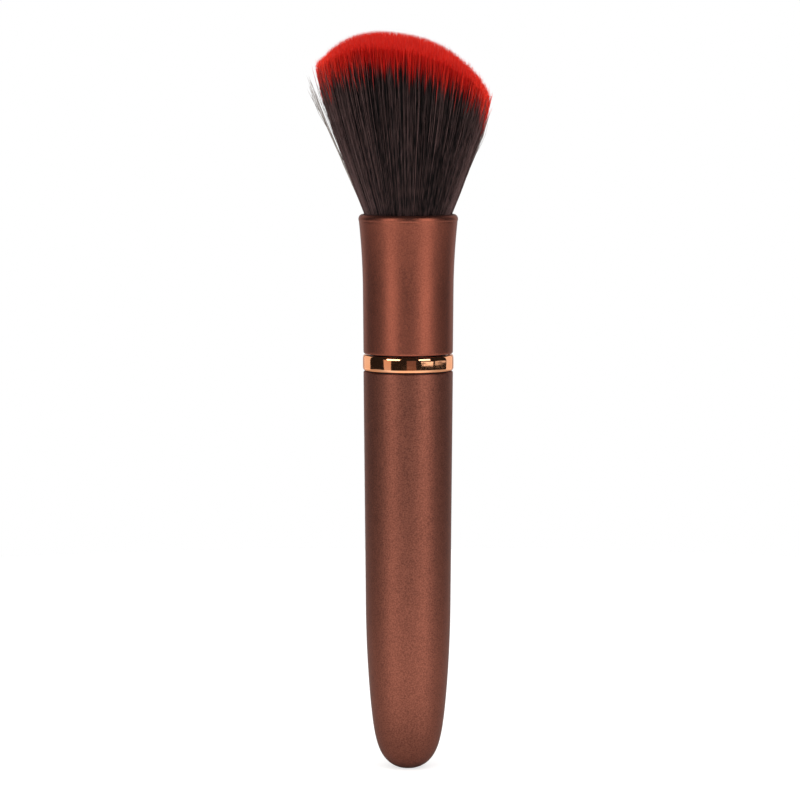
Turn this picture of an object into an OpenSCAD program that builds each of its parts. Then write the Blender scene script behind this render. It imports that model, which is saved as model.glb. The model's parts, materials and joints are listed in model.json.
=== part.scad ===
// Electric makeup brush: a vibrating handle, a polished ring and a pull-off head with an angled tuft.
// Millimetres, +Z from the tail to the fibre tips. The origin is the middle of the polished ring.
// The side that the photograph shows faces -Y, and the controls are on the +Y side.

/* [Ring] */
// How far the polished ring, which is the holder's seat, stands out past the handle
ring_proud = 0.17; // [0.05:0.01:0.4]
// Height of the polished ring
ring_h = 4.2; // [3:0.1:6]
// Rounding of the ring's outer edges
ring_edge = 0.35; // [0.1:0.05:0.8]
// Step from the collar's neck out to its ring seat
ring_step = 0.45; // [0.3:0.05:0.6]

/* [Handle] */
// Length of the handle shell, from its top edge to the tail
handle_len = 106.9; // [100:0.1:125]
// Outer radius of the handle at its top edge
handle_top_r = 11.91; // [11.6:0.01:12.1]
// How much the handle narrows per millimetre downwards
handle_taper_share = 0.0091; // [0.004:0.0001:0.014]
// Length of the domed tail
tail_len = 44.2; // [38:0.1:50]
// How far the tail draws in before its dome closes
tail_draw = 3.03; // [1.5:0.01:4]
// How late the dome closes: higher is blunter
tail_blunt_share = 11.9; // [9:0.1:15]
// How square the end of the dome is: 2 is an ellipse
tail_square_share = 2.135; // [2:0.005:2.4]
// Wall of the handle shell
shell_wall = 1.5; // [1.2:0.05:1.7]
// Thickness of the tail at its middle
tail_floor = 3.2; // [2.6:0.1:4]
// Rounding of the handle's top edge
handle_edge = 0.3; // [0.1:0.05:0.5]

/* [Seams and fits] */
// Open line between the head and the ring
head_seam = 0.3; // [0.25:0.05:0.6]
// Open line between the ring and the handle
handle_seam = 0.25; // [0.15:0.05:0.5]
// Radial clearance of round pieces that are put together once
fit = 0.1; // [0.05:0.01:0.12]
// Radial clearance of pieces that slide or turn
running_fit = 0.05; // [0.02:0.01:0.08]
// Clearance that a rubber ring keeps from the wall that it seals
seal_gap = 0.04; // [0.02:0.01:0.08]
// Gap between pieces that must not rub
free_gap = 0.3; // [0.2:0.05:0.4]

/* [Sleeve] */
// Length of the metal sleeve, from its lower edge to the rim
sleeve_len = 37; // [34:0.5:42]
// How far the sleeve's lower edge stays inside the ring
sleeve_in = 0.18; // [0:0.01:0.3]
// Even widening of the sleeve from its lower edge to its rim
sleeve_draft = 0.33; // [0.1:0.01:0.6]
// Extra widening of the flared mouth
flare = 1.08; // [0.6:0.01:1.6]
// Length of the flared mouth
flare_len = 20; // [14:0.5:26]
// Wall of the sleeve
sleeve_wall = 1.2; // [0.9:0.05:1.25]
// Rounding of the sleeve's lower edge
sleeve_edge = 0.5; // [0.2:0.05:0.8]

/* [Collar] */
// Height of the neck that the head slides over, above the ring
neck_len = 15.9; // [15:0.1:17]
// Wall of the neck
neck_wall = 1.4; // [1.3:0.05:1.45]
// Thickness of the neck's closed top
neck_cap = 1.4; // [1:0.1:1.6]
// Bevel at the neck's top edge
neck_bevel = 0.6; // [0.3:0.05:0.8]
// Thickness of the collar's flange
flange_t = 1.5; // [1:0.1:2]
// How far the flange stands out past the skirt
flange_lip = 0.7; // [0.4:0.05:0.8]
// Depth of the rubber rings' grooves
groove_depth = 0.8; // [0.7:0.05:0.85]
// Height of the rubber rings' grooves
groove_h = 1.3; // [1.1:0.05:1.6]
// Height of the neck's groove above the ring
neck_groove_up = 8.5; // [8:0.1:10]
// Depth of the skirt's groove below the flange
skirt_groove_down = 2.4; // [2:0.1:2.8]
// Width of the key that sets which way the head faces
key_w = 2; // [1.5:0.1:2.5]
// How far the key stands out from the neck
key_t = 0.5; // [0.3:0.05:0.6]
// Height of the key
key_h = 6; // [4:0.5:7]

/* [Head parts] */
// Thickness of the web that closes the head's socket
socket_web = 2; // [1.5:0.1:2.5]
// Recess of the socket behind the sleeve's lower edge
socket_recess = 0.4; // [0.3:0.05:0.8]
// How far the cup that grips the fibre roots ends below the place where the fibres begin to spread
cup_low = 1.58; // [1:0.02:3]
// Wall of the cup
cup_wall = 0.6; // [0.5:0.05:0.8]
// Floor of the cup
cup_floor = 1.2; // [0.8:0.1:1.6]
// Thickness of the resin below the fibre roots
resin_t = 2.4; // [1.5:0.1:3]
// Thickness of the glued slice of roots
root_slice = 1.6; // [1:0.1:2]

/* [Tuft] */
// Gap between the bundle of roots and its cup
root_gap = 0.3; // [0.1:0.05:0.5]
// Gap between the tuft and the sleeve's rim
mouth_gap = 0.26; // [0.1:0.02:0.5]
// How fast the tuft spreads above the rim
tuft_splay_share = 0.42; // [0.36:0.01:0.46]
// Height over which that spread would stop
tuft_ease_h = 190; // [150:5:240]
// Depth of the spread, front to back, as a share of its width
tuft_depth_share = 0.5; // [0.35:0.01:1]
// Height of the tuft's middle above the rim
tuft_h = 47; // [42:0.5:52]
// How much lower the right side ends than the left, halved
tuft_slant = 4.6; // [0:0.1:7]
// How far the two sides drop below the middle
tuft_drop = 14.1; // [10:0.1:16]
// How far the front and the back drop below the middle
tuft_sag = 4; // [2:0.1:8]
// Curve of the left shoulder
left_shoulder_share = 2.6; // [2:0.1:3.5]
// Curve of the right shoulder
right_shoulder_share = 2.15; // [2:0.05:3.5]
// Rings of strands round the middle one
strand_rings_count = 11; // [10:1:12]
// Turn of the outermost roots about the middle, so that no straight lane shows between the strands
strand_twist = 36; // [24:2:44]
// Height above the rim from which a strand runs straight to its tapered end
strand_knee = 1.4; // [0.5:0.1:3]
// Length of the tapered end of a strand
strand_tip = 8; // [6:0.5:12]
// How far single strands end below the tuft's surface
strand_stray = 0.8; // [0:0.1:1.5]

/* [Motor] */
// Radius of the motor's can
motor_r = 6; // [5.8:0.05:6.05]
// Length of the motor's can
motor_len = 17; // [15:0.5:19]
// Wall of the motor's can
can_wall = 0.6; // [0.4:0.05:0.7]
// Thickness of the can's top
can_top = 0.8; // [0.6:0.05:1.2]
// Radius of the can's bearing boss
boss_r = 2.6; // [2.3:0.1:3]
// Height of the can's bearing boss
boss_h = 1; // [0.6:0.1:1.2]
// Thickness of the motor's end cap outside the can
end_cap_t = 1.4; // [1.3:0.1:1.8]
// Depth that the end cap plugs into the can
end_cap_plug = 1.4; // [1:0.1:1.6]
// Wall of the rubber boot round the motor
boot_t = 1.8; // [1.6:0.05:1.85]
// Thickness of the boot's lip below the motor
boot_lip_t = 1; // [0.6:0.1:1.4]
// Width of that lip
boot_lip_w = 1.5; // [1:0.1:1.8]
// How far the boot stops below the top of the can
boot_low = 2.8; // [2:0.1:4]
// Radius of the motor shaft
shaft_r = 0.75; // [0.6:0.01:0.8]
// Wall of the shaft's bushes
bush_wall = 0.75; // [0.6:0.05:0.8]
// Length of each bush
bush_len = 2.2; // [2:0.1:2.3]
// Thickness of the magnets
magnet_t = 0.8; // [0.6:0.05:0.9]
// How far the magnets reach past each end of the rotor's core
magnet_over = 1.5; // [1:0.1:1.8]
// Part of a circle that each magnet spans
magnet_angle = 130; // [100:5:150]
// Air gap between the magnets and the rotor
air_gap = 0.35; // [0.3:0.05:0.5]
// Room inside the can above and below the rotor's core, both together
core_room = 6.8; // [6:0.1:8]
// Width of each arm of the core
arm_w = 1.5; // [1.2:0.1:1.8]
// Thickness of the core's pole faces
pole_t = 0.8; // [0.6:0.05:1]
// Part of a circle that each pole face spans
pole_angle = 92; // [80:2:104]
// Thickness of the copper round each arm
winding_t = 0.6; // [0.4:0.05:0.8]
// Thickness of the brush leaves
brush_t = 0.2; // [0.15:0.05:0.3]
// Width of the brush leaves
brush_w = 1.5; // [1:0.1:1.8]
// Length of the brush terminals below the end cap
blade_len = 1.6; // [1.2:0.1:1.8]
// Distance of the brush terminals from the middle
blade_x = 3.2; // [2.8:0.1:3.4]
// Radius of the commutator
commutator_r = 1.5; // [1.3:0.05:1.6]
// Length of the commutator
commutator_len = 1.8; // [1.4:0.1:2]
// Radius of the eccentric weight
weight_r = 6.2; // [5:0.1:7]
// Thickness of the eccentric weight
weight_h = 5; // [4:0.1:5.4]
// Radius of the weight's hub
weight_hub_r = 2; // [1.6:0.1:2.6]
// Gap from the motor up to the weight
weight_gap = 0.8; // [0.5:0.1:1.2]
// Gap from the shaft up to the neck's closed top
shaft_top_gap = 0.6; // [0.4:0.1:1]

/* [Battery] */
// Radius of the rechargeable cell
cell_r = 5; // [4.6:0.05:5.2]
// Length of the rechargeable cell
cell_len = 44; // [38:0.5:50]
// Rounding of the cell's ends
cell_edge = 0.4; // [0.2:0.05:0.6]
// Gap between the cell and the handle's wall
cell_gap = 0.45; // [0.35:0.05:0.7]
// Thickness of the nickel tabs
tab_t = 0.3; // [0.2:0.05:0.4]
// Width of the nickel tabs
tab_w = 3; // [2:0.1:4]
// Thickness of the foam at the ends of the cell
pad_t = 0.7; // [0.5:0.05:1]

/* [Chassis and board] */
// Thickness of the chassis plate
web_t = 1.2; // [1:0.05:1.3]
// Gap between the edges of the chassis plate and the handle's wall
web_gap = 0.5; // [0.3:0.05:1.2]
// Thickness of the chassis flange
chassis_flange_t = 1.6; // [1.2:0.1:2]
// Height of the plug that carries the motor
chassis_plug_h = 3; // [2.4:0.1:4]
// Room outside the motor's leads in the wire passage through that plug
passage_room = 0.6; // [0.4:0.05:0.9]
// Thickness of the bulkheads at the ends of the cell
bulkhead_t = 1.5; // [1.2:0.1:2]
// Room beside those leads in the two wire windows of the chassis plate
window_room = 0.3; // [0.2:0.05:0.8]
// Height of the two wire windows in the chassis plate
window_h = 6; // [5:0.1:7]
// Radius of the screws that hold the chassis to the collar
screw_r = 0.7; // [0.5:0.05:0.75]
// Length of those screws below the head
screw_len = 5.6; // [4.5:0.1:6]
// Radius of the screw heads
screw_head_r = 1.15; // [1:0.05:1.2]
// Height of the screw heads
screw_head_h = 1; // [0.7:0.1:1.2]
// Radius of the hexagonal recess in the screw heads
screw_hex_r = 0.5; // [0.4:0.05:0.6]
// Length of the circuit board
board_len = 44; // [42:0.5:50]
// Room between the edges of the circuit board and the handle's wall
board_room = 2.72; // [2.4:0.02:3]
// Thickness of the circuit board
board_t = 1; // [0.8:0.1:1.2]
// Gap from the chassis flange down to the board
board_drop = 2.8; // [2.6:0.1:4]
// Width of the control chip
control_chip_w = 3.9; // [3:0.1:4.4]
// Length of the control chip
control_chip_len = 4.9; // [4:0.1:6]
// Height of the control chip
control_chip_h = 1.5; // [1:0.1:1.8]
// Width of the charging chip
charge_chip_w = 3; // [2:0.1:3.4]
// Height of the charging chip
charge_chip_h = 1; // [0.8:0.1:1.4]
// Length of a chip's legs
leg_len = 0.9; // [0.6:0.05:1]
// Width of a chip's legs
leg_w = 0.4; // [0.3:0.05:0.5]
// Thickness of a chip's legs
leg_t = 0.25; // [0.15:0.05:0.4]
// Radius of the pegs that hold the board
peg_r = 0.6; // [0.5:0.05:0.7]
// Radius of the pegs' melted heads
peg_head_r = 1; // [0.9:0.05:1.2]
// Height of the pegs' melted heads
peg_head_h = 0.6; // [0.4:0.05:0.8]
// Distance of the pegs from the board's edges
peg_inset = 1.5; // [1.3:0.1:2]
// Radius of the insulated wires
wire_r = 0.4; // [0.3:0.02:0.45]

/* [Button and light] */
// Distance of the button below the board's top edge
button_under = 6.25; // [3.2:0.05:8.6]
// Radius of the button's cap
button_r = 3.3; // [3:0.05:3.6]
// How far the button stands proud of the handle
button_proud = 0.12; // [0.05:0.01:0.16]
// Depth of the finger dish in the button
button_dish = 0.3; // [0.15:0.05:0.4]
// Width of the flange behind the button
button_flange_w = 0.6; // [0.4:0.05:0.8]
// Thickness of that flange
button_flange_t = 0.7; // [0.5:0.05:0.8]
// Radius of the button's post
button_post_r = 1.4; // [1:0.05:1.6]
// How far the button travels
button_travel = 0.5; // [0.3:0.05:0.5]
// Width of the bezel's rim round the button
bezel_w = 0.85; // [0.6:0.05:1]
// How far the bezel stands proud of the handle
bezel_proud = 0.06; // [0.02:0.01:0.1]
// Width of the switch under the button
switch_w = 5.2; // [4.5:0.1:6]
// Height of the switch's body
switch_h = 1.6; // [1.4:0.05:1.8]
// Radius of the switch's plunger
plunger_r = 1.2; // [1:0.05:1.4]
// Floor of the switch under its plunger
switch_floor = 0.3; // [0.2:0.05:0.4]
// How far the plunger stands up from the switch
plunger_up = 0.6; // [0.55:0.05:0.8]
// Distance of the light below the button
light_down = 9.5; // [8.5:0.1:11]
// Radius of the light guide
light_r = 0.9; // [0.6:0.05:1.1]
// Width of the lamp chip on the board
lamp_w = 1.6; // [1.2:0.1:2]
// Height of the lamp chip
lamp_h = 0.7; // [0.5:0.05:0.9]

/* [Charging socket] */
// Radius of the socket's bore, for a round charging plug
jack_bore_r = 1.28; // [1.2:0.01:1.35]
// Depth of the socket's bore
jack_bore_len = 9; // [8:0.1:10]
// Lead-in bevel at the bore's mouth
jack_bevel = 0.3; // [0.2:0.05:0.4]
// Radius of the nose that shows in the tail
jack_nose_r = 2.1; // [1.9:0.05:2.3]
// How deep the nose's end lies in from the tip of the tail
jack_nose_in = 0.3; // [0.2:0.05:0.5]
// Radius of the socket's body
jack_r = 3.4; // [3.2:0.05:3.6]
// Length of the socket's body
jack_len = 10; // [9:0.1:11]
// Thickness of the rubber seal between the socket and the tail
jack_seal_t = 0.8; // [0.6:0.05:1]
// Radius of the socket's contact pins
pin_r = 0.4; // [0.3:0.05:0.45]
// Length of the pins above the socket
pin_up = 2; // [1.6:0.1:2.4]
// Distance of the outer pin from the middle
pin_out = 2.1; // [1.9:0.05:2.2]
// Depth of the outer pin inside the socket's body
pin_deep = 3; // [2:0.1:3.4]
// Radius of the contact disc at the end of the bore
contact_r = 0.9; // [0.6:0.05:1]
// Wall of the chassis cup that holds the socket
jack_cup_wall = 1.4; // [1:0.1:1.6]
// Height of that cup below the socket's top
jack_cup_h = 3.8; // [3:0.1:4.4]
// Room for wires between the socket and the cell
wire_room = 9; // [8.6:0.1:10]

/* [Hidden] */
$fn = 96;
overrun = 1;
// Bands along a revolved outline, how closely they bunch towards the tail, and steps of a rounding
outline_count = 48;
bunch_share = 2.5;
edge_count = 6;
// Sides and rings of a wire
wire_sides_count = 8;
wire_rings_count = 22;

// Heights of the outside
ring_top = ring_h / 2;
handle_top = -ring_top - handle_seam;
tail_z = handle_top - handle_len;
sleeve_bottom = ring_top + head_seam;
rim = sleeve_bottom + sleeve_len;

// Radii of the outside, from the handle up
ring_r = handle_top_r + ring_proud;
sleeve_base_r = ring_r - sleeve_in;

// Radii from the motor outwards
boot_bore_r = motor_r + fit;
boot_r = boot_bore_r + boot_t;
collar_bore_r = boot_r + fit;
neck_r = collar_bore_r + neck_wall;
socket_bore_r = neck_r + fit;
ring_seat_r = neck_r + ring_step;
ring_bore_r = ring_seat_r + fit;
seat_r = handle_top_r - shell_wall;
skirt_r = seat_r - fit;
flange_r = skirt_r + flange_lip;
socket_r = sleeve_base_r - sleeve_wall - fit;
neck_groove_r = neck_r - groove_depth;
skirt_groove_r = skirt_r - groove_depth;
neck_ring_section = (socket_bore_r - neck_groove_r - 2 * seal_gap) / 2;
skirt_ring_section = (seat_r - skirt_groove_r - 2 * seal_gap) / 2;

// Heights inside the head
cup_r = socket_r;
cup_bottom = ring_top + neck_len + free_gap + socket_web;
slice_bottom = cup_bottom + cup_floor + resin_t;
slice_top = slice_bottom + root_slice;
root_r = cup_r - cup_wall - root_gap;
tuft_mouth_r = sleeve_radius(0) - sleeve_wall - mouth_gap;
straight_h = (root_r - tuft_mouth_r) / tuft_splay_share;
cup_top = rim + straight_h - cup_low;

// Heights inside the neck, from its closed top down to the chassis
neck_top = ring_top + neck_len;
shaft_top = neck_top - neck_cap - shaft_top_gap;
weight_top = shaft_top - fit;
weight_bottom = weight_top - weight_h;
boss_top = weight_bottom - weight_gap;
can_top_z = boss_top - boss_h;
can_bottom = can_top_z - motor_len;
end_cap_bottom = can_bottom - end_cap_t;
boot_bottom = end_cap_bottom - boot_lip_t;
flange_bottom = -ring_top - flange_t;
skirt_bottom = boot_bottom - chassis_plug_h;
chassis_flange_bottom = skirt_bottom - chassis_flange_t;
neck_groove_z = ring_top + neck_groove_up;
skirt_groove_z = flange_bottom - skirt_groove_down;
screw_x = (collar_bore_r + skirt_r) / 2 - fit * 2;

// Inside the motor
bush_r = shaft_r + running_fit + bush_wall;
magnet_r = motor_r - can_wall - running_fit;
core_r = magnet_r - magnet_t - air_gap;
end_cap_top = can_bottom + end_cap_plug;
lower_bush_bottom = end_cap_top - bush_len;
shaft_bottom = lower_bush_bottom - running_fit;
core_len = motor_len - can_top - end_cap_plug - core_room;
core_bottom = (end_cap_top + can_top_z - can_top - core_len) / 2 + commutator_len / 2;
magnet_len = core_len + 2 * magnet_over;
magnet_bottom = core_bottom - magnet_over;
commutator_bottom = core_bottom - winding_t - free_gap - commutator_len;
core_hub_r = shaft_r + bush_wall + fit;
arm_end_r = core_r - pole_t;
winding_inner_r = (core_hub_r * 2 + arm_end_r) / 3;

// Heights inside the handle, from the tail up
jack_bottom = tail_z + tail_floor + jack_seal_t;
jack_top = jack_bottom + jack_len;
nose_end = tail_z + jack_nose_in;
bore_end = nose_end + jack_bore_len;
lower_bulkhead = jack_top + wire_room;
cell_bottom = lower_bulkhead + bulkhead_t + pad_t + tab_t;
cell_top = cell_bottom + cell_len;
upper_bulkhead = cell_top + tab_t + pad_t;
board_top = chassis_flange_bottom - board_drop;
board_bottom = board_top - board_len;
button_z = board_top - button_under;
light_z = button_z - light_down;

// Places across the handle
cell_y = -(cavity_r(lower_bulkhead) - cell_gap - cell_r);
web_y = cell_y + cell_r + free_gap;
board_y = web_y + web_t;
board_face = board_y + board_t;
web_w = 2 * (sqrt(pow(cavity_r(jack_top), 2) - pow(board_y, 2)) - web_gap);
board_w = 2 * (sqrt(pow(cavity_r(board_bottom), 2) - pow(board_face, 2)) - board_room);
switch_face = board_face + switch_h;
plunger_face = switch_face + plunger_up;
bezel_r = button_r + fit + bezel_w;
bezel_in = sqrt(pow(cavity_r(button_z), 2) - pow(bezel_r + fit, 2)) - fit;
button_flange_face = bezel_in - free_gap / 2;
button_foot = button_flange_face - button_flange_t;
wire_y = board_y + board_t + wire_r * 2;
jack_cup_bottom = jack_top - jack_cup_h;
jack_cup_top = jack_top + web_t;
lead_reach = blade_x + brush_t / 2 + wire_r;
passage_r = lead_reach + passage_room;
window_w = 2 * (lead_reach + window_room);

// Places of the small parts on the board, as shares of its length down from its top edge,
// of its half width, and of the lamp chip's width for their own length
control_chip_share = 0.66;
charge_chip_share = 0.84;
small_part_shares = [
    [0.50, 0.62, 1], [0.50, -0.62, 1], [0.57, 0.66, 0.8], [0.57, -0.66, 0.8],
    [0.76, 0.60, 1.2], [0.77, -0.62, 1], [0.86, 0.64, 0.8], [0.86, -0.62, 0.8]
];
motor_pad_share = 0.04;
lower_pad_share = 0.955;
// Share of a turn that separates one strand's length from the next one's
scatter_share = 0.618;
// How much of its lattice triangle a strand fills at each of its rings
fill_shares = [0.8, 0.92, 0.8];
// Distance of the jack leads from the middle, where they pass the lower tab and at the board
lead_x = tab_w / 2 + wire_r * 4;
lead_pad_x = wire_r * 6;

// Radius of the handle at a distance up from the tip of its tail
function handle_radius(d) =
    let (t = min(d / tail_len, 1))
    (handle_top_r - handle_taper_share * (handle_len - d) - tail_draw * pow(1 - t, 2))
    * pow(1 - pow(1 - t, tail_blunt_share), 1 / tail_square_share);

// Radius of the handle's hollow at a height
function cavity_r(z) = handle_radius(z - tail_z) - shell_wall;

// Radius of the sleeve at a distance down from its rim
function sleeve_radius(h) =
    sleeve_base_r + sleeve_draft * (1 - h / sleeve_len) + flare * pow(1 - min(h / flare_len, 1), 2);

// Points of an arc about c, from angle a to angle b
function arc(c, r, a, b) =
    [for (i = [0:edge_count]) let (g = a + (b - a) * i / edge_count) c + r * [cos(g), sin(g)]];

// Outline of the handle, from the tip of the tail to its rounded top edge
function handle_outline() = concat(
    [for (i = [0:outline_count])
        let (d = (handle_len - handle_edge) * pow(i / outline_count, bunch_share))
        [handle_radius(d), tail_z + d]],
    arc([handle_top_r - handle_edge, handle_top - handle_edge], handle_edge, 0, 90),
    [[0, handle_top]]
);

module turned(points) { rotate_extrude() polygon(points); }

// A disc or tube along Z between two heights
module tube_z(r, bore, low, high) {
    translate([0, 0, low]) difference() {
        cylinder(r = r, h = high - low);
        if (bore > 0)
            translate([0, 0, -overrun]) cylinder(r = bore, h = high - low + 2 * overrun);
    }
}

// A rod along Y between two depths, at a height
module rod_y(r, low, high, z) {
    translate([0, low, z]) rotate([-90, 0, 0]) cylinder(r = r, h = high - low);
}

// A box between two corners
module block(low, high) { translate(low) cube(high - low); }

// A rubber ring of round section that sits on a groove's floor
module rubber_ring(groove_r, section, z) {
    translate([0, 0, z]) rotate_extrude()
        translate([groove_r + seal_gap + section, 0]) circle(r = section);
}

// A smooth curve through hand-chosen points
function curve_point(p, g) =
    let (n = len(p) - 1, i = min(floor(g * n), n - 1), t = g * n - i,
         a = p[max(i - 1, 0)], b = p[i], c = p[i + 1], d = p[min(i + 2, n)])
    0.5 * (2 * b + (c - a) * t + (2 * a - 5 * b + 4 * c - d) * t * t + (3 * b - a - 3 * c + d) * t * t * t);
function unit(v) = v / norm(v);

// A wire swept along such a curve, with its two ends square to the given directions
module wire(p, start, end) {
    n = wire_rings_count;
    m = wire_sides_count;
    side = [1, 0, 0];
    rings = [for (i = [0:n])
        let (c = curve_point(p, i / n),
             d = i == 0 ? start : i == n ? end
                 : unit(curve_point(p, (i + 0.5) / n) - curve_point(p, (i - 0.5) / n)),
             u = unit(side - d * (side * d)), v = cross(d, u))
        for (k = [0:m - 1]) c + wire_r * (cos(360 * k / m) * u + sin(360 * k / m) * v)];
    walls = [for (i = [0:n - 1], k = [0:m - 1])
        let (a = i * m + k, b = i * m + (k + 1) % m)
        each [[a, b + m, b], [a, a + m, b + m]]];
    ends = [for (k = [1:m - 2]) each [[0, k, k + 1], [n * m, n * m + k + 1, n * m + k]]];
    polyhedron(points = rings, faces = concat(walls, ends), convexity = 6);
}

// Strands start on a triangular lattice of roots that is rounded to a disc: of each pair of
// triangles one grows a strand and the other stays as the glued slice between the roots.
lattice_x = [1, 0];
lattice_y = [cos(60), sin(60)];
function lattice_ring(a, b) = max(abs(a), abs(b), abs(a + b));
function lattice_disc(c) =
    let (q = c.x * lattice_x + c.y * lattice_y, far = lattice_ring(c.x, c.y) / strand_rings_count,
         turn = atan2(q.y, q.x) + strand_twist * far)
    far * [cos(turn), sin(turn)];

// Half width of the tuft at a height above the rim, sideways and front to back
function tuft_spread(h) = tuft_splay_share * h * (1 - h / tuft_ease_h);
function tuft_half_w(h) = max(root_r, tuft_mouth_r + tuft_spread(h));
function tuft_half_d(h) =
    max(root_r, tuft_mouth_r + tuft_spread(h) * (h > 0 ? tuft_depth_share : 1));

// Height above the rim at which the tuft's surface cuts off a fibre from place q in the disc
function tuft_tip(q) =
    tuft_h - tuft_slant * q.x
    - tuft_drop * pow(abs(q.x), q.x > 0 ? right_shoulder_share : left_shoulder_share)
    - tuft_sag * q.y * q.y;

// Place of a fibre from place q in the disc at a height above the rim
function fibre_point(q, h) = [q.x * tuft_half_w(h), q.y * tuft_half_d(h), rim + h];

module bristle_tuft() {
    n = strand_rings_count;
    // Number of a lattice place, counted row by row
    function first(a) = a <= 0 ? (a + n) * (3 * n + 1 + a) / 2
        : (n + 1) * (3 * n + 2) / 2 + (a - 1) * (2 * n + 1) - (a - 1) * a / 2;
    function number(c) = first(c.x) + c.y + (c.x <= 0 ? n + c.x : n);
    function held(c) = lattice_ring(c.x, c.y) <= n;
    cells = [for (a = [-n:n], b = [-n:n]) if (held([a, b])) [a, b]];
    // The three lattice places of a strand's foot, and of the flat triangle beside it
    function foot(c) = [c, c + [1, 0], c + [0, 1]];
    function flat(c) = [c, c + [1, 0], c + [1, -1]];
    feet = [for (c = cells) if (held(c + [1, 0]) && held(c + [0, 1])) foot(c)];
    flats = [for (c = cells) if (held(c + [1, 0]) && held(c + [1, -1])) flat(c)];
    corners = [[1, 0], [0, 1], [-1, 1], [-1, 0], [0, -1], [1, -1]];
    edge = [for (s = [0:5], j = [0:n - 1]) corners[s] * n + (corners[(s + 1) % 6] - corners[s]) * j];
    // Points: the lattice on top of the slice, ten for each strand, and the slice's lower edge
    function root(c, z) = let (q = lattice_disc(c) * root_r) [q.x, q.y, z];
    roots = [for (c = cells) root(c, slice_top)];
    strands = [for (i = [0:len(feet) - 1])
        let (q = [for (c = feet[i]) lattice_disc(c)], mid = (q[0] + q[1] + q[2]) / 3,
             scatter = i * scatter_share - floor(i * scatter_share),
             tip = tuft_tip(mid) - strand_stray * scatter,
             levels = [straight_h, strand_knee, tip - strand_tip])
        each concat(
            [for (k = [0:2], j = [0:2]) fibre_point(mid + (q[j] - mid) * fill_shares[k], levels[k])],
            [fibre_point(mid, tip)])];
    base = len(roots);
    lower = base + len(strands);
    strand_faces = [for (i = [0:len(feet) - 1])
        let (s = base + 10 * i,
             rows = [[for (c = feet[i]) number(c)], [s, s + 1, s + 2], [s + 3, s + 4, s + 5],
                     [s + 6, s + 7, s + 8]])
        each concat(
            [for (k = [0:2], j = [0:2])
                let (h = (j + 1) % 3)
                each [[rows[k][j], rows[k + 1][h], rows[k][h]],
                      [rows[k][j], rows[k + 1][j], rows[k + 1][h]]]],
            [for (j = [0:2]) [rows[3][j], s + 9, rows[3][(j + 1) % 3]]])];
    flat_faces = [for (t = flats) [for (c = t) number(c)]];
    wall_faces = [for (i = [0:len(edge) - 1])
        let (j = (i + 1) % len(edge))
        each [[number(edge[i]), number(edge[j]), lower + j],
              [number(edge[i]), lower + j, lower + i]]];
    floor_faces = [for (i = [1:len(edge) - 2]) [lower, lower + i, lower + i + 1]];
    color("#33241f") polyhedron(
        points = concat(roots, strands, [for (c = edge) root(c, slice_bottom)]),
        faces = concat(strand_faces, flat_faces, wall_faces, floor_faces), convexity = 20);
}

// The resin poured round the root ends
module root_resin() {
    color("#c9a24b") tube_z(cup_r - cup_wall - running_fit, 0, cup_bottom + cup_floor, slice_bottom);
}

// The cup that grips the roots, standing on the socket's web
module tuft_cup() {
    color("#b9bcc0") difference() {
        tube_z(cup_r, 0, cup_bottom, cup_top);
        tube_z(cup_r - cup_wall, 0, cup_bottom + cup_floor, cup_top + overrun);
    }
}

// The flared sleeve, with a round lip at its mouth
module head_sleeve() {
    lip_r = sleeve_wall / 2;
    span = sleeve_len - sleeve_edge - lip_r;
    color("#8c5444") turned(concat(
        arc([sleeve_base_r - sleeve_edge, sleeve_bottom + sleeve_edge], sleeve_edge, -90, 0),
        [for (i = [1:outline_count - 1])
            let (h = sleeve_len - sleeve_edge - span * i / outline_count) [sleeve_radius(h), rim - h]],
        arc([sleeve_radius(lip_r) - lip_r, rim - lip_r], lip_r, 0, 180),
        [for (i = [1:outline_count])
            let (h = lip_r + (sleeve_len - lip_r) * i / outline_count)
            [sleeve_radius(h) - sleeve_wall, rim - h]]
    ));
}

// The plastic socket that slides over the neck, with a slot for its key
module head_socket() {
    low = sleeve_bottom + socket_recess;
    color("#2b2727") difference() {
        turned([[socket_bore_r, low], [socket_r, low], [socket_r, cup_bottom], [0, cup_bottom],
                [0, cup_bottom - socket_web], [socket_bore_r, cup_bottom - socket_web]]);
        block([-key_w / 2 - fit, 0, low - overrun],
              [key_w / 2 + fit, neck_r + key_t + fit, ring_top + key_h + free_gap]);
    }
}

module neck_o_ring() { color("#1c1b1b") rubber_ring(neck_groove_r, neck_ring_section, neck_groove_z); }

module collar_gasket() { color("#1c1b1b") rubber_ring(skirt_groove_r, skirt_ring_section, skirt_groove_z); }

module metal_ring() {
    color("#eba77c") turned(concat(
        [[ring_bore_r, -ring_top]],
        arc([ring_r - ring_edge, ring_edge - ring_top], ring_edge, -90, 0),
        arc([ring_r - ring_edge, ring_top - ring_edge], ring_edge, 0, 90),
        [[ring_bore_r, ring_top]]
    ));
}

// Screws and their holes stand at both sides of the motor
module at_screws() { for (s = [-1, 1]) translate([s * screw_x, 0, chassis_flange_bottom]) children(); }

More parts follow.
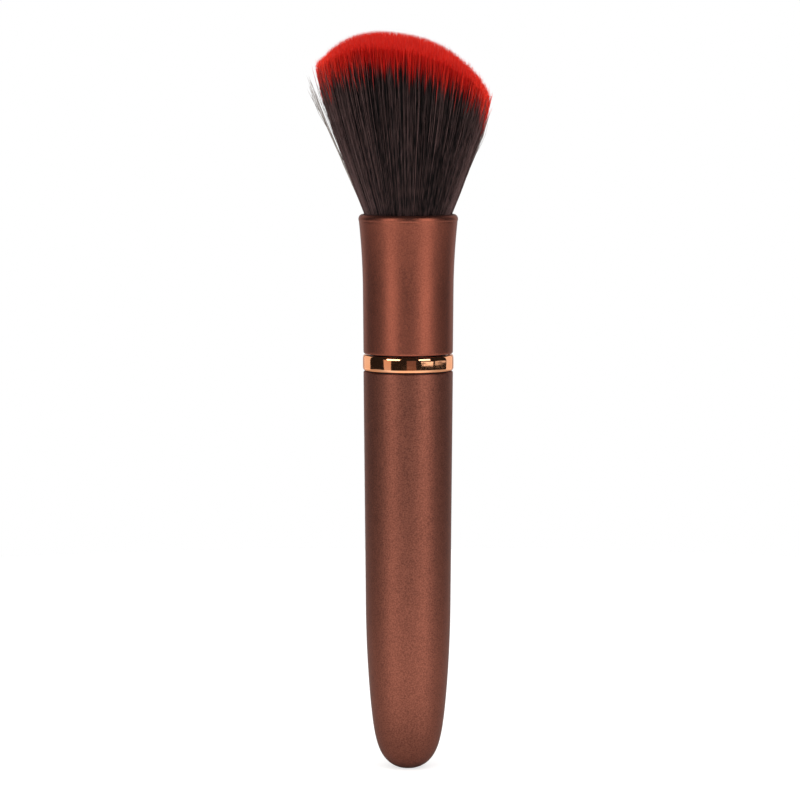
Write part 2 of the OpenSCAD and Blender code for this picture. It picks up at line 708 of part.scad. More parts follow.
// The collar: a neck for the head, a seat for the ring, a flange, and a skirt inside the handle
module neck_collar() {
    g = groove_h / 2;
    color("#2b2727") difference() {
        union() {
            turned([
                [collar_bore_r, skirt_bottom], [skirt_r, skirt_bottom], [skirt_r, skirt_groove_z - g],
                [skirt_groove_r, skirt_groove_z - g], [skirt_groove_r, skirt_groove_z + g],
                [skirt_r, skirt_groove_z + g], [skirt_r, flange_bottom], [flange_r, flange_bottom],
                [flange_r, -ring_top], [ring_seat_r, -ring_top], [ring_seat_r, ring_top],
                [neck_r, ring_top], [neck_r, neck_groove_z - g], [neck_groove_r, neck_groove_z - g],
                [neck_groove_r, neck_groove_z + g], [neck_r, neck_groove_z + g],
                [neck_r, neck_top - neck_bevel], [neck_r - neck_bevel, neck_top], [0, neck_top],
                [0, neck_top - neck_cap], [collar_bore_r, neck_top - neck_cap]
            ]);
            block([-key_w / 2, neck_r - neck_wall / 2, ring_top],
                  [key_w / 2, neck_r + key_t, ring_top + key_h]);
        }
        at_screws() tube_z(screw_r + running_fit, 0, 0, screw_len + free_gap);
    }
}

// The handle shell: a tapering tube with a domed tail, open for the button, the light and the socket
module handle_shell() {
    hollow_len = handle_len - tail_floor;
    color("#865042") difference() {
        turned(handle_outline());
        turned(concat(
            [[0, tail_z + tail_floor]],
            [for (i = [0:outline_count])
                let (d = tail_floor + hollow_len * pow(i / outline_count, bunch_share / 2))
                [cavity_r(tail_z + d), tail_z + d]],
            [[cavity_r(handle_top), handle_top + overrun], [0, handle_top + overrun]]
        ));
        tube_z(seat_r, 0, skirt_bottom - free_gap, handle_top + overrun);
        tube_z(flange_r + fit, 0, flange_bottom, handle_top + overrun);
        tube_z(jack_nose_r + fit, 0, tail_z - overrun, tail_z + tail_floor + overrun);
        rod_y(bezel_r + running_fit, 0, handle_top_r + overrun, button_z);
        rod_y(light_r + running_fit, 0, handle_top_r + overrun, light_z);
    }
}

module motor_can() {
    inner = motor_r - can_wall;
    hole = bush_r + running_fit;
    color("#c3c6c9") turned([
        [inner, can_bottom], [motor_r, can_bottom], [motor_r, can_top_z], [boss_r, can_top_z],
        [boss_r, boss_top], [hole, boss_top], [hole, can_top_z - can_top], [inner, can_top_z - can_top]
    ]);
}

module motor_end_cap() {
    plug_r = motor_r - can_wall - running_fit;
    hole = bush_r + running_fit;
    color("#e6e2d6") difference() {
        turned([
            [0, end_cap_bottom], [motor_r, end_cap_bottom], [motor_r, can_bottom], [plug_r, can_bottom],
            [plug_r, end_cap_top], [hole, end_cap_top], [hole, shaft_bottom - running_fit],
            [0, shaft_bottom - running_fit]
        ]);
        for (s = [-1, 1]) translate([s * (blade_x + brush_t / 2), 0, end_cap_bottom - overrun])
            linear_extrude(end_cap_t + end_cap_plug + 2 * overrun)
            square([brush_t + 2 * running_fit, brush_w + 2 * running_fit], center = true);
    }
}

// The rubber boot that holds the motor in the collar and softens its hum
module motor_boot() {
    lip = boot_bore_r - boot_lip_w;
    high = can_top_z - boot_low;
    color("#3a3838") turned([
        [lip, boot_bottom], [boot_r, boot_bottom], [boot_r, high], [boot_bore_r, high],
        [boot_bore_r, end_cap_bottom], [lip, end_cap_bottom]
    ]);
}

// A flat piece of a ring, about the X axis and opening over an angle
module ring_sector(outer, inner, angle) {
    intersection() {
        difference() {
            circle(r = outer);
            circle(r = inner);
        }
        polygon(concat([[0, 0]], arc([0, 0], 2 * outer, -angle / 2, angle / 2)));
    }
}

module motor_magnets() {
    color("#4a4d52") for (turn = [0, 180])
        translate([0, 0, magnet_bottom]) linear_extrude(magnet_len)
        rotate(turn) ring_sector(magnet_r, magnet_r - magnet_t, magnet_angle);
}

module motor_bushes() {
    color("#b58a4c") for (z = [lower_bush_bottom, boss_top - bush_len])
        tube_z(bush_r, shaft_r + running_fit, z, z + bush_len);
}

// The two brushes, each one strip from its terminal below the end cap to the commutator
module motor_brushes() {
    leaf_z = commutator_bottom + commutator_len / 2;
    color("#b8743a") for (s = [0, 180]) rotate(s) {
        block([blade_x, -brush_w / 2, end_cap_bottom - blade_len], [blade_x + brush_t, brush_w / 2, leaf_z]);
        block([commutator_r + running_fit, -brush_w / 2, leaf_z - brush_t],
              [blade_x + brush_t, brush_w / 2, leaf_z]);
    }
}

module motor_shaft() { color("#d5d7da") tube_z(shaft_r, 0, shaft_bottom, shaft_top); }

// The core: three arms with curved pole faces
module rotor_core() {
    color("#8f9296") translate([0, 0, core_bottom]) linear_extrude(core_len) difference() {
        union() {
            circle(r = core_hub_r);
            for (turn = [0:120:240]) rotate(turn) {
                translate([0, -arm_w / 2]) square([arm_end_r + pole_t / 2, arm_w]);
                ring_sector(core_r, arm_end_r, pole_angle);
            }
        }
        circle(r = shaft_r + running_fit);
    }
}

module rotor_windings() {
    half_w = arm_w / 2 + winding_t;
    outer_x = sqrt(pow(arm_end_r, 2) - pow(half_w, 2)) - running_fit;
    color("#a5542c") for (turn = [0:120:240]) rotate(turn) difference() {
        block([winding_inner_r, -half_w, core_bottom - winding_t],
              [outer_x, half_w, core_bottom + core_len + winding_t]);
        block([winding_inner_r - overrun, -arm_w / 2, core_bottom],
              [core_r, arm_w / 2, core_bottom + core_len]);
    }
}

module commutator() {
    color("#c07a45")
        tube_z(commutator_r, shaft_r + running_fit, commutator_bottom, commutator_bottom + commutator_len);
}

module eccentric_weight() {
    color("#9a9ca0") translate([0, 0, weight_bottom]) linear_extrude(weight_h) difference() {
        union() {
            circle(r = weight_hub_r);
            intersection() {
                circle(r = weight_r);
                translate([-weight_r, 0]) square([2 * weight_r, weight_r]);
            }
        }
        circle(r = shaft_r + running_fit);
    }
}

// The pegs that hold the board stand near its four corners
module at_pegs() {
    for (s = [-1, 1], z = [board_top - peg_inset, board_bottom + peg_inset])
        translate([s * (board_w / 2 - peg_inset), 0, z]) children();
}

// The chassis: it carries the motor, the cell, the board and the charging socket on one plate
module chassis() {
    jack_cup_r = jack_r + fit + jack_cup_wall;
    rail_out = cell_r + fit + web_t;
    color("#4a4644") difference() {
        union() {
            tube_z(collar_bore_r - fit, 0, skirt_bottom, boot_bottom);
            tube_z(cavity_r(chassis_flange_bottom) - free_gap, 0, chassis_flange_bottom, skirt_bottom);
            block([-web_w / 2, web_y, jack_top], [web_w / 2, board_y, skirt_bottom - chassis_flange_t / 2]);
            for (s = [-1, 1]) block(
                [s < 0 ? -rail_out : rail_out - web_t, cell_y - web_t, lower_bulkhead],
                [s < 0 ? web_t - rail_out : rail_out, web_y, upper_bulkhead]);
            for (z = [lower_bulkhead, upper_bulkhead]) intersection() {
                tube_z(cavity_r(z) - free_gap, 0, z, z + bulkhead_t);
                block([-handle_top_r, -handle_top_r, z], [handle_top_r, board_y, z + bulkhead_t]);
            }
            tube_z(jack_cup_r, 0, jack_cup_bottom, jack_cup_top);
            at_pegs() {
                rod_y(peg_r, board_y - web_t / 2, board_face + peg_head_h / 2, 0);
                rod_y(peg_head_r, board_face, board_face + peg_head_h, 0);
            }
        }
        tube_z(passage_r, 0, chassis_flange_bottom - overrun, boot_bottom + overrun);
        at_screws() tube_z(screw_r + running_fit, 0, -overrun, chassis_flange_t + overrun);
        at_screws() tube_z(screw_head_r + fit, 0, -screw_head_h - overrun, 0);
        block([-window_w / 2, web_y - overrun, board_top], [window_w / 2, board_y + overrun, chassis_flange_bottom]);
        block([-window_w / 2, web_y - overrun, jack_cup_top],
              [window_w / 2, board_y + overrun, jack_cup_top + window_h]);
        for (z = [cell_bottom - tab_t, cell_top])
            block([-tab_w / 2 - fit, web_y - overrun, z - running_fit],
                  [tab_w / 2 + fit, board_y + overrun, z + tab_t + running_fit]);
        tube_z(jack_r + fit, 0, jack_cup_bottom - overrun, jack_top);
        tube_z(pin_out + pin_r + free_gap, 0, jack_top - overrun, jack_cup_top + overrun);
    }
}

module chassis_screws() {
    color("#c9cbce") at_screws() difference() {
        union() {
            tube_z(screw_r, 0, 0, screw_len);
            tube_z(screw_head_r, 0, -screw_head_h, 0);
        }
        translate([0, 0, -screw_head_h - overrun])
            cylinder(r = screw_hex_r, h = overrun + screw_head_h / 2, $fn = 6);
    }
}

module battery_cell() {
    color("#2f6d86") translate([0, cell_y, 0]) turned(concat(
        [[0, cell_bottom]],
        arc([cell_r - cell_edge, cell_bottom + cell_edge], cell_edge, -90, 0),
        arc([cell_r - cell_edge, cell_top - cell_edge], cell_edge, 0, 90),
        [[0, cell_top]]
    ));
}

// The upper tab reaches the back of the board, and the lower one ends in an ear for its wire
module battery_tabs() {
    inner = cell_y - cell_r / 2;
    color("#cfd1cf") {
        block([-tab_w / 2, inner, cell_top], [tab_w / 2, board_y, cell_top + tab_t]);
        block([-tab_w / 2, inner, cell_bottom - tab_t], [tab_w / 2, wire_y + wire_r, cell_bottom]);
    }
}

// Foam at both ends of the cell and between it and the chassis plate
module battery_pads() {
    strip_w = cell_r * 3 / 4;
    color("#e3dfd2") {
        translate([0, cell_y, 0]) tube_z(cell_r - cell_edge, 0, lower_bulkhead + bulkhead_t, cell_bottom - tab_t);
        translate([0, cell_y, 0]) tube_z(cell_r - cell_edge, 0, cell_top + tab_t, upper_bulkhead);
        difference() {
            block([-strip_w / 2, web_y - free_gap * 2, cell_bottom + cell_r], [strip_w / 2, web_y, cell_top - cell_r]);
            translate([0, cell_y, 0]) tube_z(cell_r + seal_gap, 0, cell_bottom, cell_top);
        }
    }
}

module circuit_board() {
    color("#2c6b45") difference() {
        block([-board_w / 2, board_y, board_bottom], [board_w / 2, board_face, board_top]);
        at_pegs() rod_y(peg_r + fit, board_y - overrun, board_face + overrun, 0);
    }
}

// A part on the board, about a place, with its size across, along and up
module on_board(x, z, size) {
    block([x - size.x / 2, board_face, z - size.y / 2], [x + size.x / 2, board_face + size.z, z + size.y / 2]);
}

module control_chip() {
    z = board_top - board_len * control_chip_share;
    color("#232326") {
        on_board(0, z, [control_chip_w, control_chip_len, control_chip_h]);
        for (i = [-1.5:1.5])
            on_board(0, z + i * control_chip_len / 4, [control_chip_w + 2 * leg_len, leg_w, leg_t]);
    }
}

module charge_chip() {
    z = board_top - board_len * charge_chip_share;
    color("#2a2a2d") {
        on_board(0, z, [charge_chip_w, charge_chip_w, charge_chip_h]);
        for (i = [-1:1]) on_board(0, z + i * charge_chip_w / 3, [charge_chip_w + leg_len, leg_w, leg_t]);
    }
}

module small_components() {
    color("#b79b6b") for (p = small_part_shares)
        on_board(p[1] * board_w / 2, board_top - board_len * p[0], [lamp_w / 2, lamp_w * p[2], lamp_h]);
}

module tactile_switch() {
    color("#3c3d42") difference() {
        union() {
            on_board(0, button_z, [switch_w, switch_w, switch_h]);
            for (i = [-1, 1])
                on_board(0, button_z + i * switch_w / 3, [switch_w + 2 * leg_len, leg_w * 2, leg_t]);
        }
        rod_y(plunger_r + fit, board_face + switch_floor, switch_face + overrun, button_z);
    }
}

module switch_plunger() {
    low = board_face + switch_floor + button_travel + fit;
    color("#d9d4c6") rod_y(plunger_r, low, plunger_face, button_z);
}

// Radius of the handle's skin at a height, for what is flush with it
function skin_r(z) = handle_radius(z - tail_z);

// The button: a dished cap in the bezel, a flange behind it and a post onto the switch
module power_button() {
    crown = skin_r(button_z) + button_proud;
    dish_w = button_r * 3 / 4;
    dish_r = (dish_w * dish_w + button_dish * button_dish) / (2 * button_dish);
    color("#3f2b27") {
        difference() {
            intersection() {
                rod_y(button_r, button_foot, handle_top_r + overrun, button_z);
                tube_z(crown, 0, button_z - 2 * button_r, button_z + 2 * button_r);
            }
            translate([0, crown - button_dish + dish_r, button_z]) sphere(r = dish_r);
        }
        rod_y(button_r + button_flange_w, button_foot, button_flange_face, button_z);
        rod_y(button_post_r, plunger_face, button_foot + button_flange_t / 2, button_z);
    }
}

module button_bezel() {
    color("#eba77c") difference() {
        intersection() {
            rod_y(bezel_r, bezel_in, handle_top_r + overrun, button_z);
            tube_z(skin_r(button_z) + bezel_proud, 0, button_z - 2 * bezel_r, button_z + 2 * bezel_r);
        }
        rod_y(button_r + fit, 0, handle_top_r + 2 * overrun, button_z);
    }
}

module status_lamp() { color("#e9e4c8") on_board(0, light_z, [lamp_w, lamp_w / 2, lamp_h]); }

// The clear guide from the lamp to the handle's skin, stopped by a flange behind the wall
module light_guide() {
    flange = light_r + leg_w;
    stop = sqrt(pow(cavity_r(light_z), 2) - pow(flange, 2)) - fit;
    color("#e8eef2") intersection() {
        union() {
            rod_y(light_r, board_face + lamp_h + free_gap, handle_top_r + overrun, light_z);
            rod_y(flange, stop - leg_w, stop, light_z);
        }
        tube_z(skin_r(light_z), 0, light_z - 2 * flange, light_z + 2 * flange);
    }
}

// The charging socket: its nose shows in the tail, and its bore takes a round plug
module charge_jack() {
    mouth = jack_bore_r + jack_bevel;
    color("#1d1c1c") difference() {
        turned([
            [mouth, nose_end], [jack_nose_r, nose_end], [jack_nose_r, jack_bottom], [jack_r, jack_bottom],
            [jack_r, jack_top], [0, jack_top], [0, bore_end], [jack_bore_r, bore_end],
            [jack_bore_r, nose_end + jack_bevel]
        ]);
        tube_z(contact_r + running_fit, 0, bore_end - overrun, bore_end + tab_t + running_fit);
        tube_z(pin_r + running_fit, 0, bore_end, jack_top + overrun);
        translate([pin_out, 0, 0]) tube_z(pin_r + running_fit, 0, jack_top - pin_deep, jack_top + overrun);
    }
}

// The tip contact at the end of the bore, and the outer contact beside it
module jack_contacts() {
    color("#cda65a") {
        tube_z(contact_r, 0, bore_end, bore_end + tab_t);
        tube_z(pin_r, 0, bore_end, jack_top + pin_up);
        translate([pin_out, 0, 0]) tube_z(pin_r, 0, jack_top - pin_deep + fit, jack_top + pin_up);
    }
}

module jack_seal() { color("#6b6560") tube_z(jack_r, jack_nose_r + fit, tail_z + tail_floor, jack_bottom); }

// Wires from the brushes' terminals down through the chassis to the top of the board
module motor_leads() {
    top = end_cap_bottom - blade_len;
    pad = board_top - board_len * motor_pad_share;
    x = blade_x + brush_t / 2;
    color("#b5302a") for (s = [-1, 1]) wire([
        [s * x, 0, top], [s * x, wire_r / 2, (top + skirt_bottom) / 2],
        [s * x, web_y - wire_r, chassis_flange_bottom], [s * x, board_y + wire_r, board_top + board_drop / 3],
        [s * x, wire_y + wire_r, board_top - wire_r], [s * x, board_face + 2 * wire_r, pad],
        [s * x, board_face, pad]
    ], [0, 0, -1], [0, -1, 0]);
}

// The wire from the cell's lower tab up to the lower end of the board
module battery_lead() {
    pad = board_top - board_len * lower_pad_share;
    color("#b5302a") wire([
        [0, wire_y, cell_bottom], [0, wire_y, cell_bottom + cell_r], [0, wire_y, board_bottom - cell_r],
        [0, wire_y + wire_r, board_bottom], [0, board_face + 3 * wire_r, pad], [0, board_face, pad]
    ], [0, 0, 1], [0, -1, 0]);
}

// Wires from the charging socket's pins up to the lower end of the board
module jack_leads() {
    top = jack_top + pin_up;
    window_top = jack_cup_top + window_h;
    pad = board_top - board_len * lower_pad_share;
    color("#24211f") for (lead = [[0, -1], [pin_out, 1]]) wire([
        [lead[0], 0, top], [lead[0], wire_r / 2, top + 2 * wire_r],
        [lead[1] * lead_x * 3 / 4, web_y, (top + window_top) / 2],
        [lead[1] * lead_x, wire_y, window_top], [lead[1] * lead_x, wire_y, cell_bottom + cell_r],
        [lead[1] * lead_pad_x, wire_y, board_bottom - cell_r],
        [lead[1] * lead_pad_x, wire_y + wire_r, board_bottom], [lead[1] * lead_pad_x, board_face + 3 * wire_r, pad],
        [lead[1] * lead_pad_x, board_face, pad]
    ], [0, 0, 1], [0, -1, 0]);
}

bristle_tuft();
root_resin();
tuft_cup();
head_sleeve();
head_socket();
neck_o_ring();
metal_ring();
neck_collar();
collar_gasket();
handle_shell();
motor_can();
motor_end_cap();
motor_boot();
motor_magnets();
motor_bushes();
motor_brushes();
motor_shaft();
rotor_core();
rotor_windings();
commutator();
eccentric_weight();
chassis();
chassis_screws();
battery_cell();
battery_tabs();
battery_pads();
circuit_board();
control_chip();
charge_chip();
small_components();
tactile_switch();
switch_plunger();
power_button();
button_bezel();
status_lamp();
light_guide();
charge_jack();
jack_contacts();
jack_seal();
motor_leads();
battery_lead();
jack_leads();
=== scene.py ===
import json
import math

import bpy
import numpy as np
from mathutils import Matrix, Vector


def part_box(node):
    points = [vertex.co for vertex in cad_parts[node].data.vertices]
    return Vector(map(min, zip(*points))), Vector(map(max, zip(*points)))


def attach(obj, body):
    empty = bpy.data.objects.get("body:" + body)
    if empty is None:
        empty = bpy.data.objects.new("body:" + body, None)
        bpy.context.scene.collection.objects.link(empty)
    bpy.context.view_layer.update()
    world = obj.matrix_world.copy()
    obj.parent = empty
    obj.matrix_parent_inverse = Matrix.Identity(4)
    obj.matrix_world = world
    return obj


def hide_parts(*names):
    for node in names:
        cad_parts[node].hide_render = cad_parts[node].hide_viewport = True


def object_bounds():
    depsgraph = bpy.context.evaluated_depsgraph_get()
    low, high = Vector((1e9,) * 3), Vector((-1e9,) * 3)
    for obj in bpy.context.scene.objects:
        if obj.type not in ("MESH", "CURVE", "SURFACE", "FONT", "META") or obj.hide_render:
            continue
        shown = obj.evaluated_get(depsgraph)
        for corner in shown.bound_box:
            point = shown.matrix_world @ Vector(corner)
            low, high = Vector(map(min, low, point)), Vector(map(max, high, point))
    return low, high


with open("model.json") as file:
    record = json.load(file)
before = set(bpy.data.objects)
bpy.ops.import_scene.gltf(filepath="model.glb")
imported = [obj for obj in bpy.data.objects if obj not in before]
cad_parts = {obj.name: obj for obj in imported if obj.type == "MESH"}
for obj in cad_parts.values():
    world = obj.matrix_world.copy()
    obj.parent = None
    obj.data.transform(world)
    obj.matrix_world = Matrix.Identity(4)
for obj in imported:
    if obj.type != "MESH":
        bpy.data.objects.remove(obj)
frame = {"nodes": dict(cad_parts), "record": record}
cad_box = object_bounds()
record = frame["record"]
MM = 0.001

# The photograph: 800 pixels square, taken from 1 m away and 5.2 degrees above.
# Its middle looks at a point of the brush 10.1 mm below the ring and 2.2 mm to the left of the axis.
PIXELS = 800
MM_PER_PIXEL = 0.2663
DISTANCE = 1.0
LOOK_DOWN = math.radians(5.2)
AIM = Vector((-2.18, 0, -10.1)) * MM
SENSOR = 36

camera = bpy.data.objects.new("camera", bpy.data.cameras.new("camera"))
camera.data.sensor_width = SENSOR
camera.data.lens = SENSOR * DISTANCE / (PIXELS * MM_PER_PIXEL * MM)
back = Vector((0, -math.cos(LOOK_DOWN), math.sin(LOOK_DOWN)))
camera.location = AIM + back * DISTANCE
camera.rotation_euler = (-back).to_track_quat("-Z", "Y").to_euler()
camera.data.clip_start, camera.data.clip_end = 0.01, 20
bpy.context.scene.collection.objects.link(camera)
bpy.context.scene.camera = camera
bpy.context.scene.view_settings.view_transform = "Standard"


def linear(colour):
    """An sRGB hex colour as linear red, green and blue, and 1 for alpha."""
    parts = [int(colour[i:i + 2], 16) / 255 for i in (1, 3, 5)]
    return (*[c / 12.92 if c <= 0.04045 else ((c + 0.055) / 1.055) ** 2.4 for c in parts], 1)


def add(tree, kind, settings):
    """A new node. Each setting is one of its inputs, by name or number, or one of its own properties.
    A value may be a socket of another node, to link from."""
    node = tree.nodes.new("ShaderNode" + kind)
    for name, value in settings.items():
        if isinstance(value, bpy.types.NodeSocket):
            tree.links.new(value, node.inputs[name])
        elif isinstance(name, int) or name in node.inputs:
            node.inputs[name].default_value = value
        else:
            setattr(node, name, value)
    return node


def new_material(name):
    """A new material and its empty node tree."""
    material = bpy.data.materials.new(name)
    material.use_nodes = True
    material.node_tree.nodes.clear()
    return material, material.node_tree


def noise(tree, place, size, detail, roughness=0.5):
    """A pattern of noise with spots about size mm wide."""
    settings = {"Vector": place, "Scale": 1000 / size, "Detail": detail, "Roughness": roughness}
    return add(tree, "TexNoise", settings).outputs[0]


def slope(tree, value, start, end, low=0.0, high=1.0, smooth=False):
    """low until a value reaches start, high from end on, and an even or smooth way from one to the other."""
    kind = "SMOOTHSTEP" if smooth else "LINEAR"
    settings = {"interpolation_type": kind, 0: value, 1: start, 2: end, 3: low, 4: high}
    return add(tree, "MapRange", settings).outputs[0]


def compute(tree, operation, *values, clamp=False):
    """The outcome of an operation on values, which clamp keeps between 0 and 1."""
    settings = {"operation": operation, "use_clamp": clamp, **dict(enumerate(values))}
    return add(tree, "Math", settings).outputs[0]


def blend(tree, share, dark, light):
    """The colour that a share from 0 to 1 picks between two linear colours."""
    return add(tree, "Mix", {"data_type": "RGBA", 0: share, 6: dark, 7: light}).outputs[2]


def relief(tree, height, depth):
    """The surface's direction under a pattern of heights from 0 to 1, which is depth in mm high."""
    return add(tree, "Bump", {"Height": height, "Distance": depth * MM, "Strength": 1.0}).outputs[0]


# Noise crowds round 0.5, so a pattern takes its whole range from the values between these two.
LOW, HIGH = 0.3, 0.7
# In a plain finish the grains give this share of the mix of its colours, and patches of this size in mm
# the rest.
GRAIN_SHARE, PATCH = 0.65, 6.0
# On a satin metal faint clouds lie over the grains, wider by this factor, and its roughness varies by this
# much both ways.
CLOUD, ROUGHNESS_VARIES = 9, 0.05


def finish(name, colours, roughness, grain, metallic=0.0, depth=0.0, ior=1.5, stretch=(1, 1, 1), **shine):
    """A material of two close colours that mix in grains of a size in mm and in wider patches.
    Its roughness runs between two values with the grain, and depth in mm is how deep the grain is.
    A stretch below 1 draws the grain out along x, y or z."""
    material, tree = new_material(name)
    place = add(tree, "TexCoord", {}).outputs["Object"]
    place = add(tree, "Mapping", {"Vector": place, "Scale": stretch}).outputs[0]
    fine = noise(tree, place, grain, 2.0, 0.6)
    wide = compute(tree, "MULTIPLY", noise(tree, place, PATCH, 3.0), 1 - GRAIN_SHARE)
    both = compute(tree, "MULTIPLY_ADD", fine, GRAIN_SHARE, wide)
    dark, light = map(linear, colours)
    colour = blend(tree, slope(tree, both, 0.35, 0.65), dark, light)
    smoothest, roughest = roughness
    rough = slope(tree, fine, LOW, HIGH, smoothest, roughest)
    shader = add(tree, "BsdfPrincipled", {
        "Base Color": colour, "Roughness": rough, "Metallic": metallic, "IOR": ior})
    for socket, value in shine.items():
        shader.inputs[socket.replace("_", " ")].default_value = value
    if depth:
        tree.links.new(relief(tree, fine, depth), shader.inputs["Normal"])
    add(tree, "OutputMaterial", {"Surface": shader.outputs[0]})
    return material


def satin_metal(name, dark, light, edge, roughness, grain, depth, sparkle, coat, coat_roughness):
    """A satin metallic surface: tiny bright and dark grains over one colour, under an even sheen.
    grain and depth are a grain's width and height in mm. edge tints it where it turns away,
    sparkle is how far single grains stand off the colour, as a share of it,
    and coat is the clear film on top, whose shine has no colour."""
    material, tree = new_material(name)
    place = add(tree, "TexCoord", {}).outputs["Object"]
    fine = noise(tree, place, grain, 1.0)
    wide = noise(tree, place, grain * CLOUD, 2.0)
    grains = slope(tree, fine, 0.28, 0.72, 0.5 - sparkle, 0.5 + sparkle)
    clouds = slope(tree, wide, LOW, HIGH, -0.05, 0.05)
    share = compute(tree, "ADD", grains, clouds, clamp=True)
    colour = blend(tree, share, linear(dark), linear(light))
    rough = slope(tree, fine, LOW, HIGH, roughness - ROUGHNESS_VARIES, roughness + ROUGHNESS_VARIES)
    shader = add(tree, "BsdfPrincipled", {
        "Base Color": colour, "Roughness": rough, "Metallic": 1.0, "Specular Tint": linear(edge),
        "Normal": relief(tree, fine, depth), "Coat Weight": coat, "Coat Roughness": coat_roughness})
    add(tree, "OutputMaterial", {"Surface": shader.outputs[0]})
    return material


